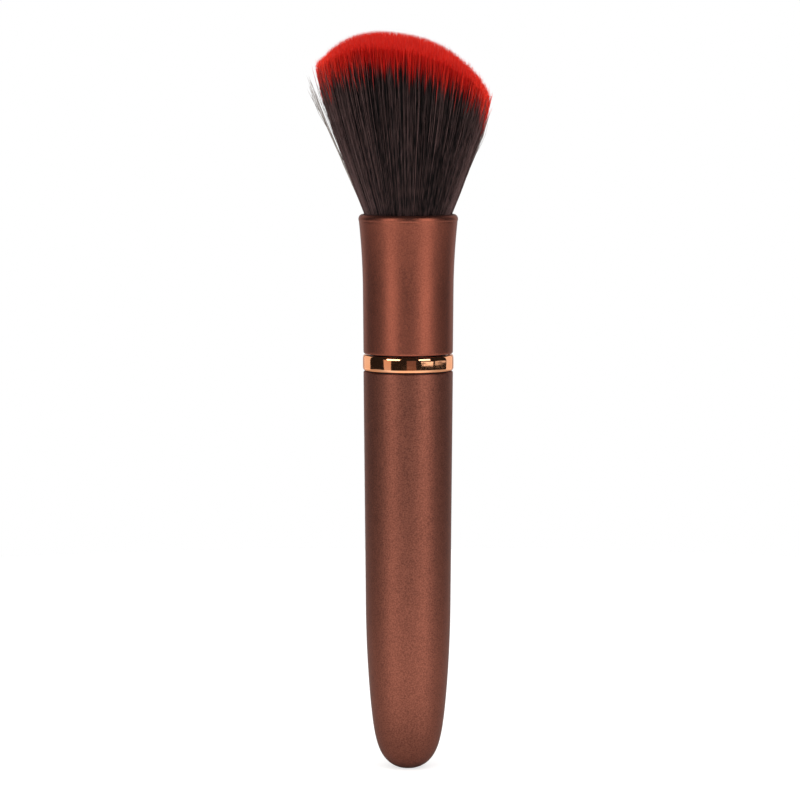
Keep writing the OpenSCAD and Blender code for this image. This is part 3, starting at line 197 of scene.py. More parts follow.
# The materials of the record's slots, each named for what the real one is.
finishes = {
    # Aluminium, bead blasted and anodised copper brown: a deep satin glow with fine even grains.
    # The real grain is about 0.05 mm, drawn at 0.36 mm so that it shows.
    "satin_sleeve": satin_metal(
        "blasted_anodised_aluminium", "#7d4030", "#b3624a", edge="#dcd8d6", roughness=0.39, grain=0.36,
        depth=0.005, sparkle=0.3, coat=0.42, coat_roughness=0.6),
    # ABS, moulded and sprayed with a satin metallic paint: flakes glint in a softer, browner coat.
    # The real flakes are about 0.04 mm, drawn at 0.36 mm so that they show.
    "satin_handle": satin_metal(
        "satin_metallic_paint_on_abs", "#683629", "#a8634e", edge="#dcd8d6", roughness=0.42, grain=0.36,
        depth=0.007, sparkle=0.34, coat=0.42, coat_roughness=0.65),
    # ABS, moulded with a spark-eroded texture: dull black with a fine even grain.
    "black_plastic": finish("moulded_black_abs", ("#1d1b1b", "#272423"), (0.42, 0.56), 0.4, depth=0.004),
    # Glass-filled nylon, moulded: a dull grey-brown with faint flow marks.
    "chassis_plastic": finish(
        "moulded_glass_filled_nylon", ("#453f3c", "#564f4b"), (0.5, 0.68), 0.5, depth=0.006, ior=1.53),
    # Acetal, moulded: ivory and slightly waxy.
    "ivory_plastic": finish(
        "moulded_acetal", ("#e2dccb", "#efeadd"), (0.34, 0.44), 0.6, depth=0.002, ior=1.48),
    # Epoxy, poured round the roots: amber and glassy with a gently uneven surface.
    "resin": finish(
        "poured_epoxy", ("#b98c3d", "#cfa95a"), (0.08, 0.18), 3.0, depth=0.02, ior=1.55, Coat_Weight=0.6),
    # Aluminium, deep drawn and left bare: bright with faint upright drawing lines.
    "cup_metal": finish(
        "drawn_bare_aluminium", ("#b4b7ba", "#d0d2d4"), (0.26, 0.40), 0.5, metallic=1.0, depth=0.002,
        stretch=(1, 1, 0.08)),
    # Nitrile rubber, moulded: matte black with a dusty bloom.
    "seal_rubber": finish(
        "moulded_nitrile_rubber", ("#151414", "#201f1f"), (0.68, 0.85), 0.4, depth=0.004, ior=1.52),
    # Silicone rubber, moulded in brown: soft matte, with a fine skin-like grain.
    "button_silicone": finish(
        "moulded_brown_silicone", ("#432c25", "#54382f"), (0.5, 0.64), 0.35, depth=0.005, ior=1.41),
    # Silicone rubber, moulded and left clear: milky grey.
    "seal_silicone": finish(
        "moulded_clear_silicone", ("#7d7871", "#96918a"), (0.35, 0.5), 0.6, depth=0.003, ior=1.41,
        Transmission_Weight=0.25),
    # Thermoplastic rubber, moulded: grey-black and soft matte.
    "boot_rubber": finish(
        "moulded_thermoplastic_rubber", ("#2f2d2d", "#3c3a39"), (0.6, 0.75), 0.5, depth=0.005),
    # Steel, drawn and zinc plated: pale bluish metal with upright drawing lines.
    "zinc_steel": finish(
        "zinc_plated_drawn_steel", ("#a9adb1", "#cdd1d4"), (0.24, 0.38), 0.45, metallic=1.0, depth=0.002,
        stretch=(1, 1, 0.1)),
    # Stainless steel, ground and polished: bright, with fine lines round the shaft.
    "polished_steel": finish(
        "ground_stainless_steel", ("#c4c6c8", "#dddfe0"), (0.10, 0.20), 0.25, metallic=1.0, depth=0.001,
        stretch=(0.1, 0.1, 1)),
    # Silicon steel, stamped and stacked: dull metal, ribbed at every sheet of 0.35 mm.
    "lamination_steel": finish(
        "stacked_silicon_steel", ("#7d8085", "#a3a6aa"), (0.35, 0.5), 0.35, metallic=1.0, depth=0.01,
        stretch=(0.04, 0.04, 1)),
    # Ferrite, pressed and sintered: dark grey, dull and slightly pitted.
    "sintered_magnet": finish(
        "sintered_ferrite", ("#3b3d41", "#50535a"), (0.55, 0.75), 0.3, depth=0.01, ior=1.8),
    # Bronze, sintered and oiled: brownish gold with fine pores.
    "bearing_bronze": finish(
        "oiled_sintered_bronze", ("#9a7440", "#c39a5e"), (0.34, 0.5), 0.2, metallic=1.0, depth=0.006),
    # Copper, enamelled wire wound in 0.2 mm turns: orange and glossy, ribbed across each arm.
    "copper": finish(
        "enamelled_copper_wire", ("#a0532a", "#cf7c4a"), (0.18, 0.3), 0.2, metallic=1.0, depth=0.02,
        stretch=(1, 0.1, 0.1), Coat_Weight=0.5),
    # Tungsten alloy, sintered: dull heavy grey.
    "sintered_weight": finish(
        "sintered_tungsten_alloy", ("#85878a", "#a2a4a7"), (0.42, 0.58), 0.25, metallic=1.0, depth=0.004),
    # Nickel, rolled strip: smooth, pale and slightly warm.
    "nickel": finish(
        "rolled_nickel_strip", ("#b9b9b4", "#d4d4cf"), (0.2, 0.3), 0.4, metallic=1.0, depth=0.001,
        stretch=(1, 0.1, 1)),
    # PVC, heat shrunk round the cell: blue-green, glossy and a little rippled.
    "cell_wrap": finish(
        "heat_shrunk_pvc", ("#2a6379", "#35758c"), (0.16, 0.28), 2.5, depth=0.015, ior=1.54, Coat_Weight=0.3),
    # Polyurethane foam, cut: cream, dull and full of open cells.
    "foam": finish("cut_polyurethane_foam", ("#c9c4b5", "#ece8dc"), (0.85, 0.95), 0.35, depth=0.05),
    # Glass-epoxy board under green solder mask: glossy, with a faint weave.
    "board_laminate": finish(
        "green_masked_glass_epoxy", ("#1f5a38", "#2c7049"), (0.2, 0.32), 0.5, depth=0.004, ior=1.55,
        Coat_Weight=0.4),
    # Epoxy, transfer moulded round a chip: near black and finely matte.
    "chip_epoxy": finish("transfer_moulded_epoxy", ("#202022", "#2b2b2e"), (0.5, 0.62), 0.15, depth=0.003),
    # Ceramic, fired: tan and faintly glossy, like small capacitors.
    "ceramic_chip": finish("fired_ceramic", ("#a88a5c", "#c4a676"), (0.3, 0.45), 0.2, depth=0.003, ior=1.6),
    # Epoxy, cast over a lamp chip: pale yellow and clear.
    "lamp_epoxy": finish(
        "cast_lamp_epoxy", ("#e6e0bf", "#f4f0d8"), (0.12, 0.2), 0.4, ior=1.52, Transmission_Weight=0.3),
    # Acrylic, moulded clear: a glassy rod whose frosted face spreads the lamp's light.
    "clear_guide": finish(
        "moulded_clear_acrylic", ("#dfe5e8", "#f2f6f8"), (0.2, 0.32), 0.6, ior=1.49, Transmission_Weight=0.6),
    # Brass, stamped and gold flashed: warm yellow and bright.
    "gold_contact": finish(
        "gold_flashed_brass", ("#c39a4b", "#e2c078"), (0.14, 0.26), 0.3, metallic=1.0, depth=0.001),
    # PVC, extruded over wire: red and softly glossy.
    "red_wire": finish(
        "extruded_red_pvc", ("#a32822", "#bd3a32"), (0.32, 0.44), 0.5, depth=0.002, ior=1.53),
    # PVC, extruded over wire: black and softly glossy.
    "black_wire": finish(
        "extruded_black_pvc", ("#1f1d1b", "#2d2a27"), (0.32, 0.44), 0.5, depth=0.002, ior=1.53),
}


def polished_ring():
    """Brass, turned, polished and plated rose gold: a mirror whose faint waves break up what it reflects.
    The waves are 2.6 mm high and twice as wide, and the faint wear in its shine is in spots of 0.4 mm.
    Real waves are some microns deep, and these are deeper, so that they show."""
    wave_size, wave_depth, wear_size = 2.6, 0.12, 0.4
    material, tree = new_material("polished_rose_gold_plate")
    place = add(tree, "TexCoord", {}).outputs["Object"]
    flat = add(tree, "Mapping", {"Vector": place, "Scale": (0.5, 0.5, 1)}).outputs[0]
    wave = noise(tree, flat, wave_size, 0.0)
    wear = noise(tree, place, wear_size, 2.0)
    colour = blend(tree, wave, linear("#f2a26f"), linear("#f4b58e"))
    rough = slope(tree, wear, 0.4, 0.7, 0.05, 0.11)
    shader = add(tree, "BsdfPrincipled", {
        "Base Color": colour, "Roughness": rough, "Metallic": 1.0, "Specular Tint": linear("#ffe9dc"),
        "Normal": relief(tree, wave, wave_depth)})
    add(tree, "OutputMaterial", {"Surface": shader.outputs[0]})
    return material


def dipped_fibre():
    """PBT filament, drawn, tapered and dyed dark brown, with its tips dipped red: silky, with a soft gloss
    along each fibre. The meshes carry three numbers for every point: its distance in mm from the tip,
    how far the red reaches in mm, and the fibre's tone, from 0, dark, to 1, light, which is partly random
    and partly painted light at the tuft's left and right edges.
    Painted light and shade: streaks about 0.5 mm wide and 8 mm long come and go over the fibres,
    standing in for fibres that weave out into the light and in into shade."""
    streak_width, streak_stretch = 0.55, 0.07
    material, tree = new_material("dyed_pbt_filament")
    from_tip = add(tree, "Attribute", {"attribute_name": "from_tip"}).outputs["Fac"]
    dip = add(tree, "Attribute", {"attribute_name": "dip"}).outputs["Fac"]
    tone_with_painted_edge_light = add(tree, "Attribute", {"attribute_name": "tone"}).outputs["Fac"]
    place = add(tree, "TexCoord", {}).outputs["Object"]
    place = add(tree, "Mapping", {"Vector": place, "Scale": (1, 1, streak_stretch)}).outputs[0]
    # Painted light and shade, in streaks over the fibres.
    painted_streaks = slope(tree, noise(tree, place, streak_width, 1.0), LOW, HIGH, -0.22, 0.22)
    # The brown is a little lighter towards the roots.
    rootward = slope(tree, from_tip, 8.0, 42.0, -0.08, 0.05)
    tone = compute(tree, "ADD", tone_with_painted_edge_light, compute(tree, "ADD", painted_streaks, rootward), clamp=True)
    brown = blend(tree, tone, linear("#080607"), linear("#654d4b"))
    # The red is brightest at the very tips.
    fade = slope(tree, from_tip, 0.0, 4.2, 0.12, -0.12)
    bright = compute(tree, "ADD", tone, fade, clamp=True)
    red = blend(tree, bright, linear("#c00d07"), linear("#ff3b27"))
    # It runs out over about 5 mm of each fibre.
    inside = compute(tree, "SUBTRACT", dip, from_tip)
    colour = blend(tree, slope(tree, inside, -2.6, 2.4, smooth=True), brown, red)
    # Lighter fibres are a little glossier.
    rough = slope(tree, tone, 0.0, 1.0, 0.5, 0.36)
    shader = add(tree, "BsdfPrincipled", {
        "Base Color": colour, "Roughness": rough, "IOR": 1.55, "Specular IOR Level": 0.12})
    add(tree, "OutputMaterial", {"Surface": shader.outputs[0]})
    return material


finishes["rose_gold"] = polished_ring()
finishes["fibre"] = dipped_fibre()
# PBT filament whose pale colour is a painted highlight for fibres lit from behind: the pale single fibres
# that stand off the tuft's edges.
finishes["pale_fibre"] = finish("pbt_filament_painted_backlit", ("#9d918a", "#c4bab3"), (0.3, 0.45), 1.0, ior=1.55)

# Every CAD node that stays in view wears the material of its slot.
slot_of = {part["node"]: part["material_slot"] for part in record["subparts"]}
for name, node in frame["nodes"].items():
    for held in node.material_slots:
        held.material = finishes[slot_of[name]]

# How many faces go round a turned piece.
LATHE_STEPS = 224


def lathe(name, outline):
    """A ring or tube turned from a closed outline of (radius, height) points in mm."""
    turn = np.linspace(0, 2 * math.pi, LATHE_STEPS, endpoint=False)
    r, z = np.array(outline, float).T
    x, y = np.outer(np.cos(turn), r), np.outer(np.sin(turn), r)
    points = np.stack([x, y, np.tile(z, (LATHE_STEPS, 1))], -1)
    n = len(outline)
    i, j = np.meshgrid(np.arange(LATHE_STEPS), np.arange(n), indexing="ij")
    k, m = (i + 1) % LATHE_STEPS, (j + 1) % n
    faces = np.stack([i * n + j, k * n + j, k * n + m, i * n + m], -1).reshape(-1, 4)
    mesh = bpy.data.meshes.new(name)
    mesh.from_pydata((points.reshape(-1, 3) * MM).tolist(), [], faces.tolist())
    mesh.validate()
    return mesh


def piece(name, mesh, body, look):
    """A smooth visible piece that rides on a body and wears one of the finishes."""
    item = bpy.data.objects.new(name, mesh)
    bpy.context.scene.collection.objects.link(item)
    mesh.materials.append(finishes[look])
    mesh.polygons.foreach_set("use_smooth", [True] * len(mesh.polygons))
    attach(item, body)
    return item


# The polished ring: the CAD ring with a hair's crown and longer rounded edges, which spread its reflections.
# ROLL is how high a rounded edge is, and FOLD how deep. The bore's own edges are bevelled by BEVEL, and the
# flat faces have rings of points at FACE_RADII.
ring_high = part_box("metal_ring")[1] / MM
ring_r, ring_half = ring_high.x, ring_high.z
TOP_ROLL, TOP_FOLD, FOOT_ROLL, FOOT_FOLD, CROWN = 1.1, 0.3, 0.85, 0.55, 0.05
RING_BORE, BEVEL = 9.95, 0.1
FACE_RADII = (11.2, 10.6)


def crowned(z):
    """Radius of the ring's wall at a height."""
    return ring_r - CROWN * (z / ring_half) ** 2


def rolled_edge(roll, fold, side):
    """A quarter of an oval, roll high and fold deep, from the wall to the ring's upper or lower face."""
    turn = np.linspace(0, math.pi / 2, 15)[1:]
    z = side * (ring_half - roll + roll * np.sin(turn))
    return list(zip(crowned(z) - fold * (1 - np.cos(turn)), z))


wall = [(crowned(z), z) for z in np.linspace(FOOT_ROLL - ring_half, ring_half - TOP_ROLL, 21)]
outline = rolled_edge(FOOT_ROLL, FOOT_FOLD, -1)[::-1] + wall + rolled_edge(TOP_ROLL, TOP_FOLD, 1)
outline += [(r, ring_half) for r in FACE_RADII]
outline += [(RING_BORE, ring_half - BEVEL), (RING_BORE, BEVEL - ring_half)]
outline += [(r, -ring_half) for r in FACE_RADII[::-1]]
ring = piece("crowned_ring", lathe("crowned_ring", outline), "handle", "rose_gold")
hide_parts("metal_ring")

# The satin sleeve: the CAD sleeve with a softly rolled lip and the fine groove under it, all in mm.
# The lip stands out by LEDGE, and its top rolls in by LIP_DEEP over a height of LIP_ROLL.
# The groove is cut in by GROOVE at LIP_H below the rim, and the walls on both sides stop GROOVE_SIDE from it.
# The wall starts ABOVE_EDGE over its rounded foot. The mouth's inner edge is MOUTH_EDGE high, and the inside
# goes on from BELOW_MOUTH.
low, high = (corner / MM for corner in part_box("head_sleeve"))
SLEEVE_LEN, BASE_R, DRAFT, FLARE, FLARE_LEN, WALL, EDGE = 37.0, 11.9, 0.33, 1.08, 20.0, 1.2, 0.5
LIP_H, LIP_ROLL, LIP_DEEP, LEDGE = 1.8, 1.3, 1.1, 0.06
GROOVE, GROOVE_HALF, GROOVE_SIDE = 0.02, 0.1, 0.12
MOUTH_EDGE, ABOVE_EDGE, BELOW_MOUTH = 0.5, 0.4, 0.8
quarter = math.pi / 2


def sleeve_radius(h):
    """Radius of the CAD sleeve at a distance down from its rim."""
    return BASE_R + DRAFT * (1 - h / SLEEVE_LEN) + FLARE * (1 - min(h / FLARE_LEN, 1)) ** 2


# The rounded lower edge, the wall, the groove and the lip, from below.
outline = [(BASE_R - EDGE + EDGE * math.sin(a), low.z + EDGE - EDGE * math.cos(a))
           for a in np.linspace(0, quarter, 8)]
outline += [(sleeve_radius(h), high.z - h)
            for h in np.linspace(SLEEVE_LEN - EDGE - ABOVE_EDGE, LIP_H + GROOVE_SIDE, 60)]
outline += [(sleeve_radius(LIP_H) - GROOVE * math.sin(math.pi * s),
             high.z - LIP_H - GROOVE_HALF + 2 * GROOVE_HALF * s) for s in (0.25, 0.5, 0.75)]
outline += [(sleeve_radius(h) + LEDGE, high.z - h) for h in np.linspace(LIP_H - GROOVE_SIDE, LIP_ROLL, 8)]
lip_r = sleeve_radius(LIP_ROLL) + LEDGE
outline += [(lip_r - LIP_DEEP * (1 - math.cos(a)), high.z - LIP_ROLL * (1 - math.sin(a)))
            for a in np.linspace(0, quarter, 16)[1:]]
# The mouth's rounded inner edge, and down the inside.
mouth = lip_r - LIP_DEEP - (sleeve_radius(MOUTH_EDGE) - WALL)
outline += [(lip_r - LIP_DEEP - mouth * math.sin(a), high.z - MOUTH_EDGE * (1 - math.cos(a)))
            for a in np.linspace(0.2, quarter, 7)]
outline += [(sleeve_radius(h) - WALL, high.z - h) for h in np.linspace(BELOW_MOUTH, SLEEVE_LEN, 30)]
sleeve = piece("rolled_lip_sleeve", lathe("rolled_lip_sleeve", outline), "head", "satin_sleeve")
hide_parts("head_sleeve")

# The tuft, in mm. Its fibres start in the glued slice and follow nearly the same curves as the CAD strands:
# straight up at ROOT_R as far as STRAIGHT, which is below the rim, then outwards by SPLAY for each mm of
# height, and less so the higher they get, as EASE says. They cross the rim at MOUTH_R, and above it they
# spread from front to back by DEPTH_SHARE of what they do sideways.
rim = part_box("head_sleeve")[1][2] / MM
slice_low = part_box("bristle_tuft")[0][2] / MM
ROOT_R, MOUTH_R, SPLAY, EASE, DEPTH_SHARE = 9.7, 11.6, 0.41, 235.0, 0.5
SLICE = 1.6
SLICE_TOP = slice_low + SLICE - rim
STRAIGHT = (ROOT_R - MOUTH_R) / SPLAY
# The cut across the tips is HEIGHT above the rim in the middle. It slopes down to the right by SLANT, and
# falls by SAG at the front and the back and by DROP at the shoulders, where LEFT and RIGHT say how suddenly.
HEIGHT, SLANT, DROP, SAG, LEFT, RIGHT = 47.0, 4.6, 14.1, 4.0, 2.6, 2.15
# The finest tips are too thin to see, so they reach past the CAD surface by FULLER, and by SHOULDER more
# towards the shoulders. At the right one's very corner they end lower by CORNER, which rounds it.
FULLER, SHOULDER, CORNER = 0.9, 0.9, 2.4
# Every tip leans back towards the tuft's middle by CURL of its distance from it. A fibre wanders from its
# root's place, leans to its clump and curls in by these powers of its height, so mostly near its tip.
CURL = 0.026
WANDER_POWER, CLUMP_POWER, CURL_POWER = 1.4, 3.5, 6
# It weaves with a wave 2 pi times WEAVE long, and narrows to half its thickness over its last TAPER.
WEAVE, TAPER = 4, 6
# Most tips end a little short of the cut, by SHORT on average.
SHORT = 0.3
# The red reaches DIP down from the tips, more or less by DIP_VARIES, and DIP_LESS less at the shoulders.
DIP, DIP_VARIES, DIP_LESS = 5.7, 1.4, 2.4
# Clumps: how many there are and how far out they reach, and the share that the fine ones have in the lean.
COARSE_CLUMPS, FINE_CLUMPS, FINE_SHARE = (300, 0.97), (1300, 0.985), 0.75
# A tip leans to its clump's middle by this share of the way, and wanders by this share of the half width.
PULL, PULL_VARIES, WANDER = 0.26, 0.12, 0.015
# The length of fibre that would fill the UV map, and how many places are compared at a time.
UV_LENGTH, CHUNK = 80.0, 2000
rng = np.random.default_rng(11)


def spread(h):
    """How much wider than at the rim the tuft is, on each side, at a height above it."""
    return SPLAY * h * (1 - h / EASE)


def fibre_place(q, h):
    """Places in mm of fibres from places q in the unit disc, at heights h above the rim."""
    wide = np.maximum(ROOT_R, MOUTH_R + spread(h))
    deep = np.maximum(ROOT_R, MOUTH_R + spread(h) * np.where(h > 0, DEPTH_SHARE, 1))
    return np.stack([q[..., 0] * wide, q[..., 1] * deep, rim + h], -1)


def tip_height(q):
    """Height above the rim of the tips of fibres from places q in the unit disc."""
    x = np.abs(q[:, 0])
    on_right = q[:, 0] > 0
    cad = HEIGHT - SLANT * q[:, 0] - DROP * x ** np.where(on_right, RIGHT, LEFT) - SAG * q[:, 1] ** 2
    right = np.clip(3 * x - 1.7, 0, SHOULDER) - np.clip(50 * (x - 0.95), 0, CORNER)
    left = np.clip(8 * x - 6.8, 0, SHOULDER)
    return cad + FULLER + np.where(on_right, right, left)


def disc_places(count, inner, outer):
    """Even but unordered places in a ring of the unit disc, by the golden angle with a little scatter."""
    share = (np.arange(count) + 0.5) / count
    r = np.sqrt(inner ** 2 + (outer ** 2 - inner ** 2) * share)
    turn = np.arange(count) * math.pi * (3 - math.sqrt(5))
    scatter = 0.6 / math.sqrt(count)
    q = np.stack([r * np.cos(turn), r * np.sin(turn)], -1) + rng.normal(0, scatter, (count, 2))
    far = np.linalg.norm(q, axis=1, keepdims=True)
    return q / np.maximum(1, far / outer)


def clump_centres(q, count, reach):
    """For each place, the nearest of count clump middles."""
    middles = disc_places(count, 0.0, reach)
    nearest = np.empty(len(q), int)
    for start in range(0, len(q), CHUNK):
        part = q[start:start + CHUNK]
        nearest[start:start + CHUNK] = ((part[:, None] - middles[None]) ** 2).sum(-1).argmin(1)
    return middles[nearest]


def fibre_lines(q, heights, drift, pull, clump, length_cut, reach, wave):
    """The fibres' middle points at each level from root to tip, and each one's distance from the tip.
    heights are shares of a fibre's length above the rim, after its straight root."""
    count = len(q)
    outward = q / np.maximum(np.linalg.norm(q, axis=1, keepdims=True), 0.01)
    bend = outward * rng.normal(0, wave, (count, 1)) + rng.normal(0, wave / 3, (count, 2))
    phase = rng.uniform(0, 2 * math.pi, count)
    tip = tip_height(q) - length_cut
    centre, along = [], []
    for h in [np.full(count, SLICE_TOP), np.full(count, STRAIGHT)] + [tip * s for s in heights]:
        t = np.clip(h / tip, 0, 1)[:, None]
        at = q + drift * t ** WANDER_POWER + (clump - q) * pull[:, None] * t ** CLUMP_POWER
        at = at + bend * (np.sin(phase + h / WEAVE) * t[:, 0])[:, None]
        far = np.linalg.norm(at, axis=1, keepdims=True)
        at = at / np.maximum(1, far / reach) * (1 - CURL * t ** CURL_POWER)
        centre.append(fibre_place(at, h))
        along.append(tip - h)
    return np.stack(centre, 1), np.stack(along, 1)


def fibre_mesh(name, q, heights, radius, dip, tone, drift, pull, clump, length_cut, reach=1.006, wave=0.018):
    """Fibres of three sides that taper to a point, with the numbers that their material reads.
    Each one weaves in and out a little, by wave, and stays within reach, both as shares of the tuft's
    half width."""
    count = len(q)
    centre, along = fibre_lines(q, heights, drift, pull, clump, length_cut, reach, wave)
    thick = radius[:, None] * np.clip(0.5 + along / (2 * TAPER), 0, 1)
    turn = rng.uniform(0, 2 * math.pi, count)[:, None] + np.arange(3) * 2 * math.pi / 3
    side = np.stack([np.cos(turn), np.sin(turn), np.zeros_like(turn)], -1)
    points = centre[:, :-1, None] + side[:, None] * thick[:, :-1, None, None]
    n = centre.shape[1] - 1
    points = np.concatenate([points.reshape(count, 3 * n, 3), centre[:, -1:]], 1)
    # One fibre's faces: four-sided walls between its rings, the three faces at its tip, and its root's end.
    walls = [[3 * i + j, 3 * i + (j + 1) % 3, 3 * i + 3 + (j + 1) % 3, 3 * i + 3 + j]
             for i in range(n - 1) for j in range(3)]
    ends = [[3 * n - 3 + j, 3 * n - 3 + (j + 1) % 3, 3 * n] for j in range(3)] + [[2, 1, 0]]
    points_of = 3 * n + 1
    base = (np.arange(count) * points_of)[:, None]
    quads, tris = (base + np.array(faces).reshape(1, -1) for faces in (walls, ends))
    corners = np.concatenate([quads.reshape(-1), tris.reshape(-1)]).astype(np.int32)
    starts = np.concatenate([np.arange(0, quads.size, 4), quads.size + np.arange(0, tris.size, 3)])
    mesh = bpy.data.meshes.new(name)
    mesh.vertices.add(count * points_of)
    mesh.vertices.foreach_set("co", (points.reshape(-1) * MM).astype(np.float32))
    mesh.loops.add(len(corners))
    mesh.loops.foreach_set("vertex_index", corners)
    mesh.polygons.add(len(starts))
    mesh.polygons.foreach_set("loop_start", starts.astype(np.int32))
    mesh.update(calc_edges=True)
    from_tip = np.concatenate([np.repeat(along[:, :-1], 3, 1), along[:, -1:]], 1).reshape(-1)
    values = {"from_tip": from_tip, "dip": np.repeat(dip, points_of), "tone": np.repeat(tone, points_of)}
    for key, value in values.items():
        mesh.attributes.new(key, "FLOAT", "POINT").data.foreach_set("value", value.astype(np.float32))
    # In the UV map the fibres stand side by side, all with their tips at the foot of the picture.
    wall_across = [[j, j + 1, j + 1, j] for j in range(3)] * (n - 1)
    end_across = [[j, j + 1, j + 0.5] for j in range(3)] + [[2, 1, 0]]
    number = np.arange(count)[:, None]
    u = [((number + np.array(across).reshape(1, -1) / 3) / count).reshape(-1)
         for across in (wall_across, end_across)]
    uv = np.stack([np.concatenate(u), from_tip[corners] / UV_LENGTH], -1)
    mesh.uv_layers.new(name="OFBake").data.foreach_set("uv", uv.reshape(-1).astype(np.float32))
    return mesh


def fibres(name, q, heights, thickness):
    """A group of dyed fibres, whose tips gather a little into clumps and wander a little from their roots.
    Most are dark. Lighter ones are mixed in at the left and right edges, as painted light where the side
    lamps catch the tuft, and in the middle of the depth."""
    count = len(q)
    coarse, fine = clump_centres(q, *COARSE_CLUMPS), clump_centres(q, *FINE_CLUMPS)
    clump = fine * FINE_SHARE + coarse * (1 - FINE_SHARE)
    pull = np.clip(rng.normal(PULL, PULL_VARIES, count), 0, 0.8)
    drift = rng.normal(0, WANDER, (count, 2))
    radius = rng.normal(thickness, thickness * 0.12, count)
    x, y = np.abs(q.T)
    # The x ** 8 term is painted light: fibres lighter at the tuft's left and right edges, where the side
    # lamps catch it.
    tone = rng.normal(0.16, 0.14, count) + rng.uniform(0, 2.8, count) * x ** 8 + 0.27 * (1 - y) ** 1.5
    dip = rng.normal(DIP, DIP_VARIES, count) - DIP_LESS * np.where(q[:, 0] > 0, x, x ** 3)
    cut = rng.exponential(SHORT, count)
    mesh = fibre_mesh(name, q, heights, radius, dip, np.clip(tone, 0, 1), drift, pull, clump, cut)
    item = piece(name, mesh, "head", "fibre")
    return item


# The outer fibres show along their whole length and have more levels. The inner ones fill the tuft, and
# only their tips show.
OUTER_HEIGHTS, OUTER_THICK = (0.0, 0.2, 0.4, 0.6, 0.76, 0.88, 0.96, 1.0), 0.08
INNER_HEIGHTS, INNER_THICK = (0.0, 0.5, 0.8, 0.94, 1.0), 0.095
outer = disc_places(9600, 0.78, 1.0)
inner = disc_places(9800, 0.0, 0.80)
front, left = outer[:, 1] < 0, outer[:, 0] < 0
inner_left = inner[:, 0] < 0
tuft = [
    fibres("tuft_fibres_front_left", outer[front & left], OUTER_HEIGHTS, OUTER_THICK),
    fibres("tuft_fibres_front_right", outer[front & ~left], OUTER_HEIGHTS, OUTER_THICK),
    fibres("tuft_fibres_back_left", outer[~front & left], OUTER_HEIGHTS, OUTER_THICK),
    fibres("tuft_fibres_back_right", outer[~front & ~left], OUTER_HEIGHTS, OUTER_THICK),
    fibres("tuft_fibres_middle_left", inner[inner_left], INNER_HEIGHTS, INNER_THICK),
    fibres("tuft_fibres_middle_right", inner[~inner_left], INNER_HEIGHTS, INNER_THICK),
]
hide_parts("bristle_tuft")

# Strays start just inside the tuft's edge, scatter a little, weave more than the others and may stand off
# its shape.
STRAY_PLACE, STRAY_SCATTER, STRAY_WAVE, STRAY_REACH = 0.985, 0.008, 0.02, 1.3


def strays(
        name, count, angles, stand_off, short, thickness, look="pale_fibre", dip_mean=0.0, tones=(0.0, 1.0)):
    """Single fibres that stand off the tuft's edge between two angles, in degrees from its right side.
    stand_off is how far, as a share of the tuft's radius, short is how much shorter they are than
    their neighbours and thickness their radius, both in mm. Each of these runs between two values."""
    turn = rng.uniform(math.radians(angles[0]), math.radians(angles[1]), count)
    q = np.stack([np.cos(turn), np.sin(turn)], -1) * STRAY_PLACE
    away = q * rng.uniform(*stand_off, count)[:, None] + rng.normal(0, STRAY_SCATTER, (count, 2))
    radius = rng.uniform(*thickness, count)
    dip = rng.normal(dip_mean, 1.5, count)
    tone = rng.uniform(*tones, count)
    cut = rng.uniform(*short, count)
    no_pull = np.zeros(count)
    mesh = fibre_mesh(
        name, q, OUTER_HEIGHTS, radius, dip, tone, away, no_pull, q, cut, STRAY_REACH, STRAY_WAVE)
    item = piece(name, mesh, "head", look)


# Pale ones, whose colour is a painted highlight for fibres lit from behind, stand off the left edge and a few
# off the right one, as the photograph shows, and dyed ones all round.
strays("pale_lock_left", 9, (178, 182), (0.135, 0.165), (3.0, 7.0), (0.07, 0.09))
strays("pale_strays_left", 12, (173, 187), (0.02, 0.10), (2.0, 12.0), (0.05, 0.075))
strays("pale_strays_right", 20, (-9, 9), (0.015, 0.055), (1.0, 6.0), (0.05, 0.07))
strays("dyed_strays", 420, (-180, 180), (0.0, 0.045), (0.0, 4.0), (0.045, 0.065), "fibre", 5.0, (0.4, 1.0))

# Soft studio light: two tall boxes to the left and right of the camera, which draw the two upright glows
# on the satin metal, a weak one in front, two behind and a broad one overhead.
centre = (cad_box[0] + cad_box[1]) / 2


def light_box(name, turn, rise, distance, width, height, power, tint=(1, 1, 1)):
    """A soft box that faces the brush from an angle to the right of the camera and an angle above the
    horizon, in degrees. Its distance and size are in metres, and its power in watts."""
    lamp = bpy.data.lights.new(name, "AREA")
    lamp.shape, lamp.size, lamp.size_y, lamp.energy, lamp.color = "RECTANGLE", width, height, power, tint
    turn, rise = math.radians(turn), math.radians(rise)
    away = Vector((math.sin(turn) * math.cos(rise), -math.cos(turn) * math.cos(rise), math.sin(rise)))
    item = bpy.data.objects.new(name, lamp)
    item.location = centre + away * distance
    item.rotation_euler = (-away).to_track_quat("-Z", "Y").to_euler()
    bpy.context.scene.collection.objects.link(item)
    return item


def only(state):
    """For a lamp: INCLUDE lets it light nothing but the ring, and EXCLUDE everything but the ring."""
    group = bpy.data.collections.new("ring_" + state.lower())
    group.objects.link(ring)
    group.collection_objects[0].light_linking.link_state = state
    return group


ring_alone, all_but_ring = only("INCLUDE"), only("EXCLUDE")
for lamp in (
    light_box("left_box", -43, 18, 0.9, 0.42, 0.74, 2.3),
    light_box("right_box", 44, 18, 0.9, 0.50, 0.74, 2.75),
    light_box("front_box", 4, 0, 1.3, 0.7, 0.9, 0.1),
    light_box("back_left_box", -140, 15, 1.1, 0.3, 0.9, 0.8),
    light_box("back_right_box", 140, 15, 1.1, 0.3, 0.9, 0.8),
):
    lamp.light_linking.receiver_collection = all_but_ring
light_box("top_box", 0, 62, 1.0, 1.0, 0.8, 5.0).visible_glossy = False

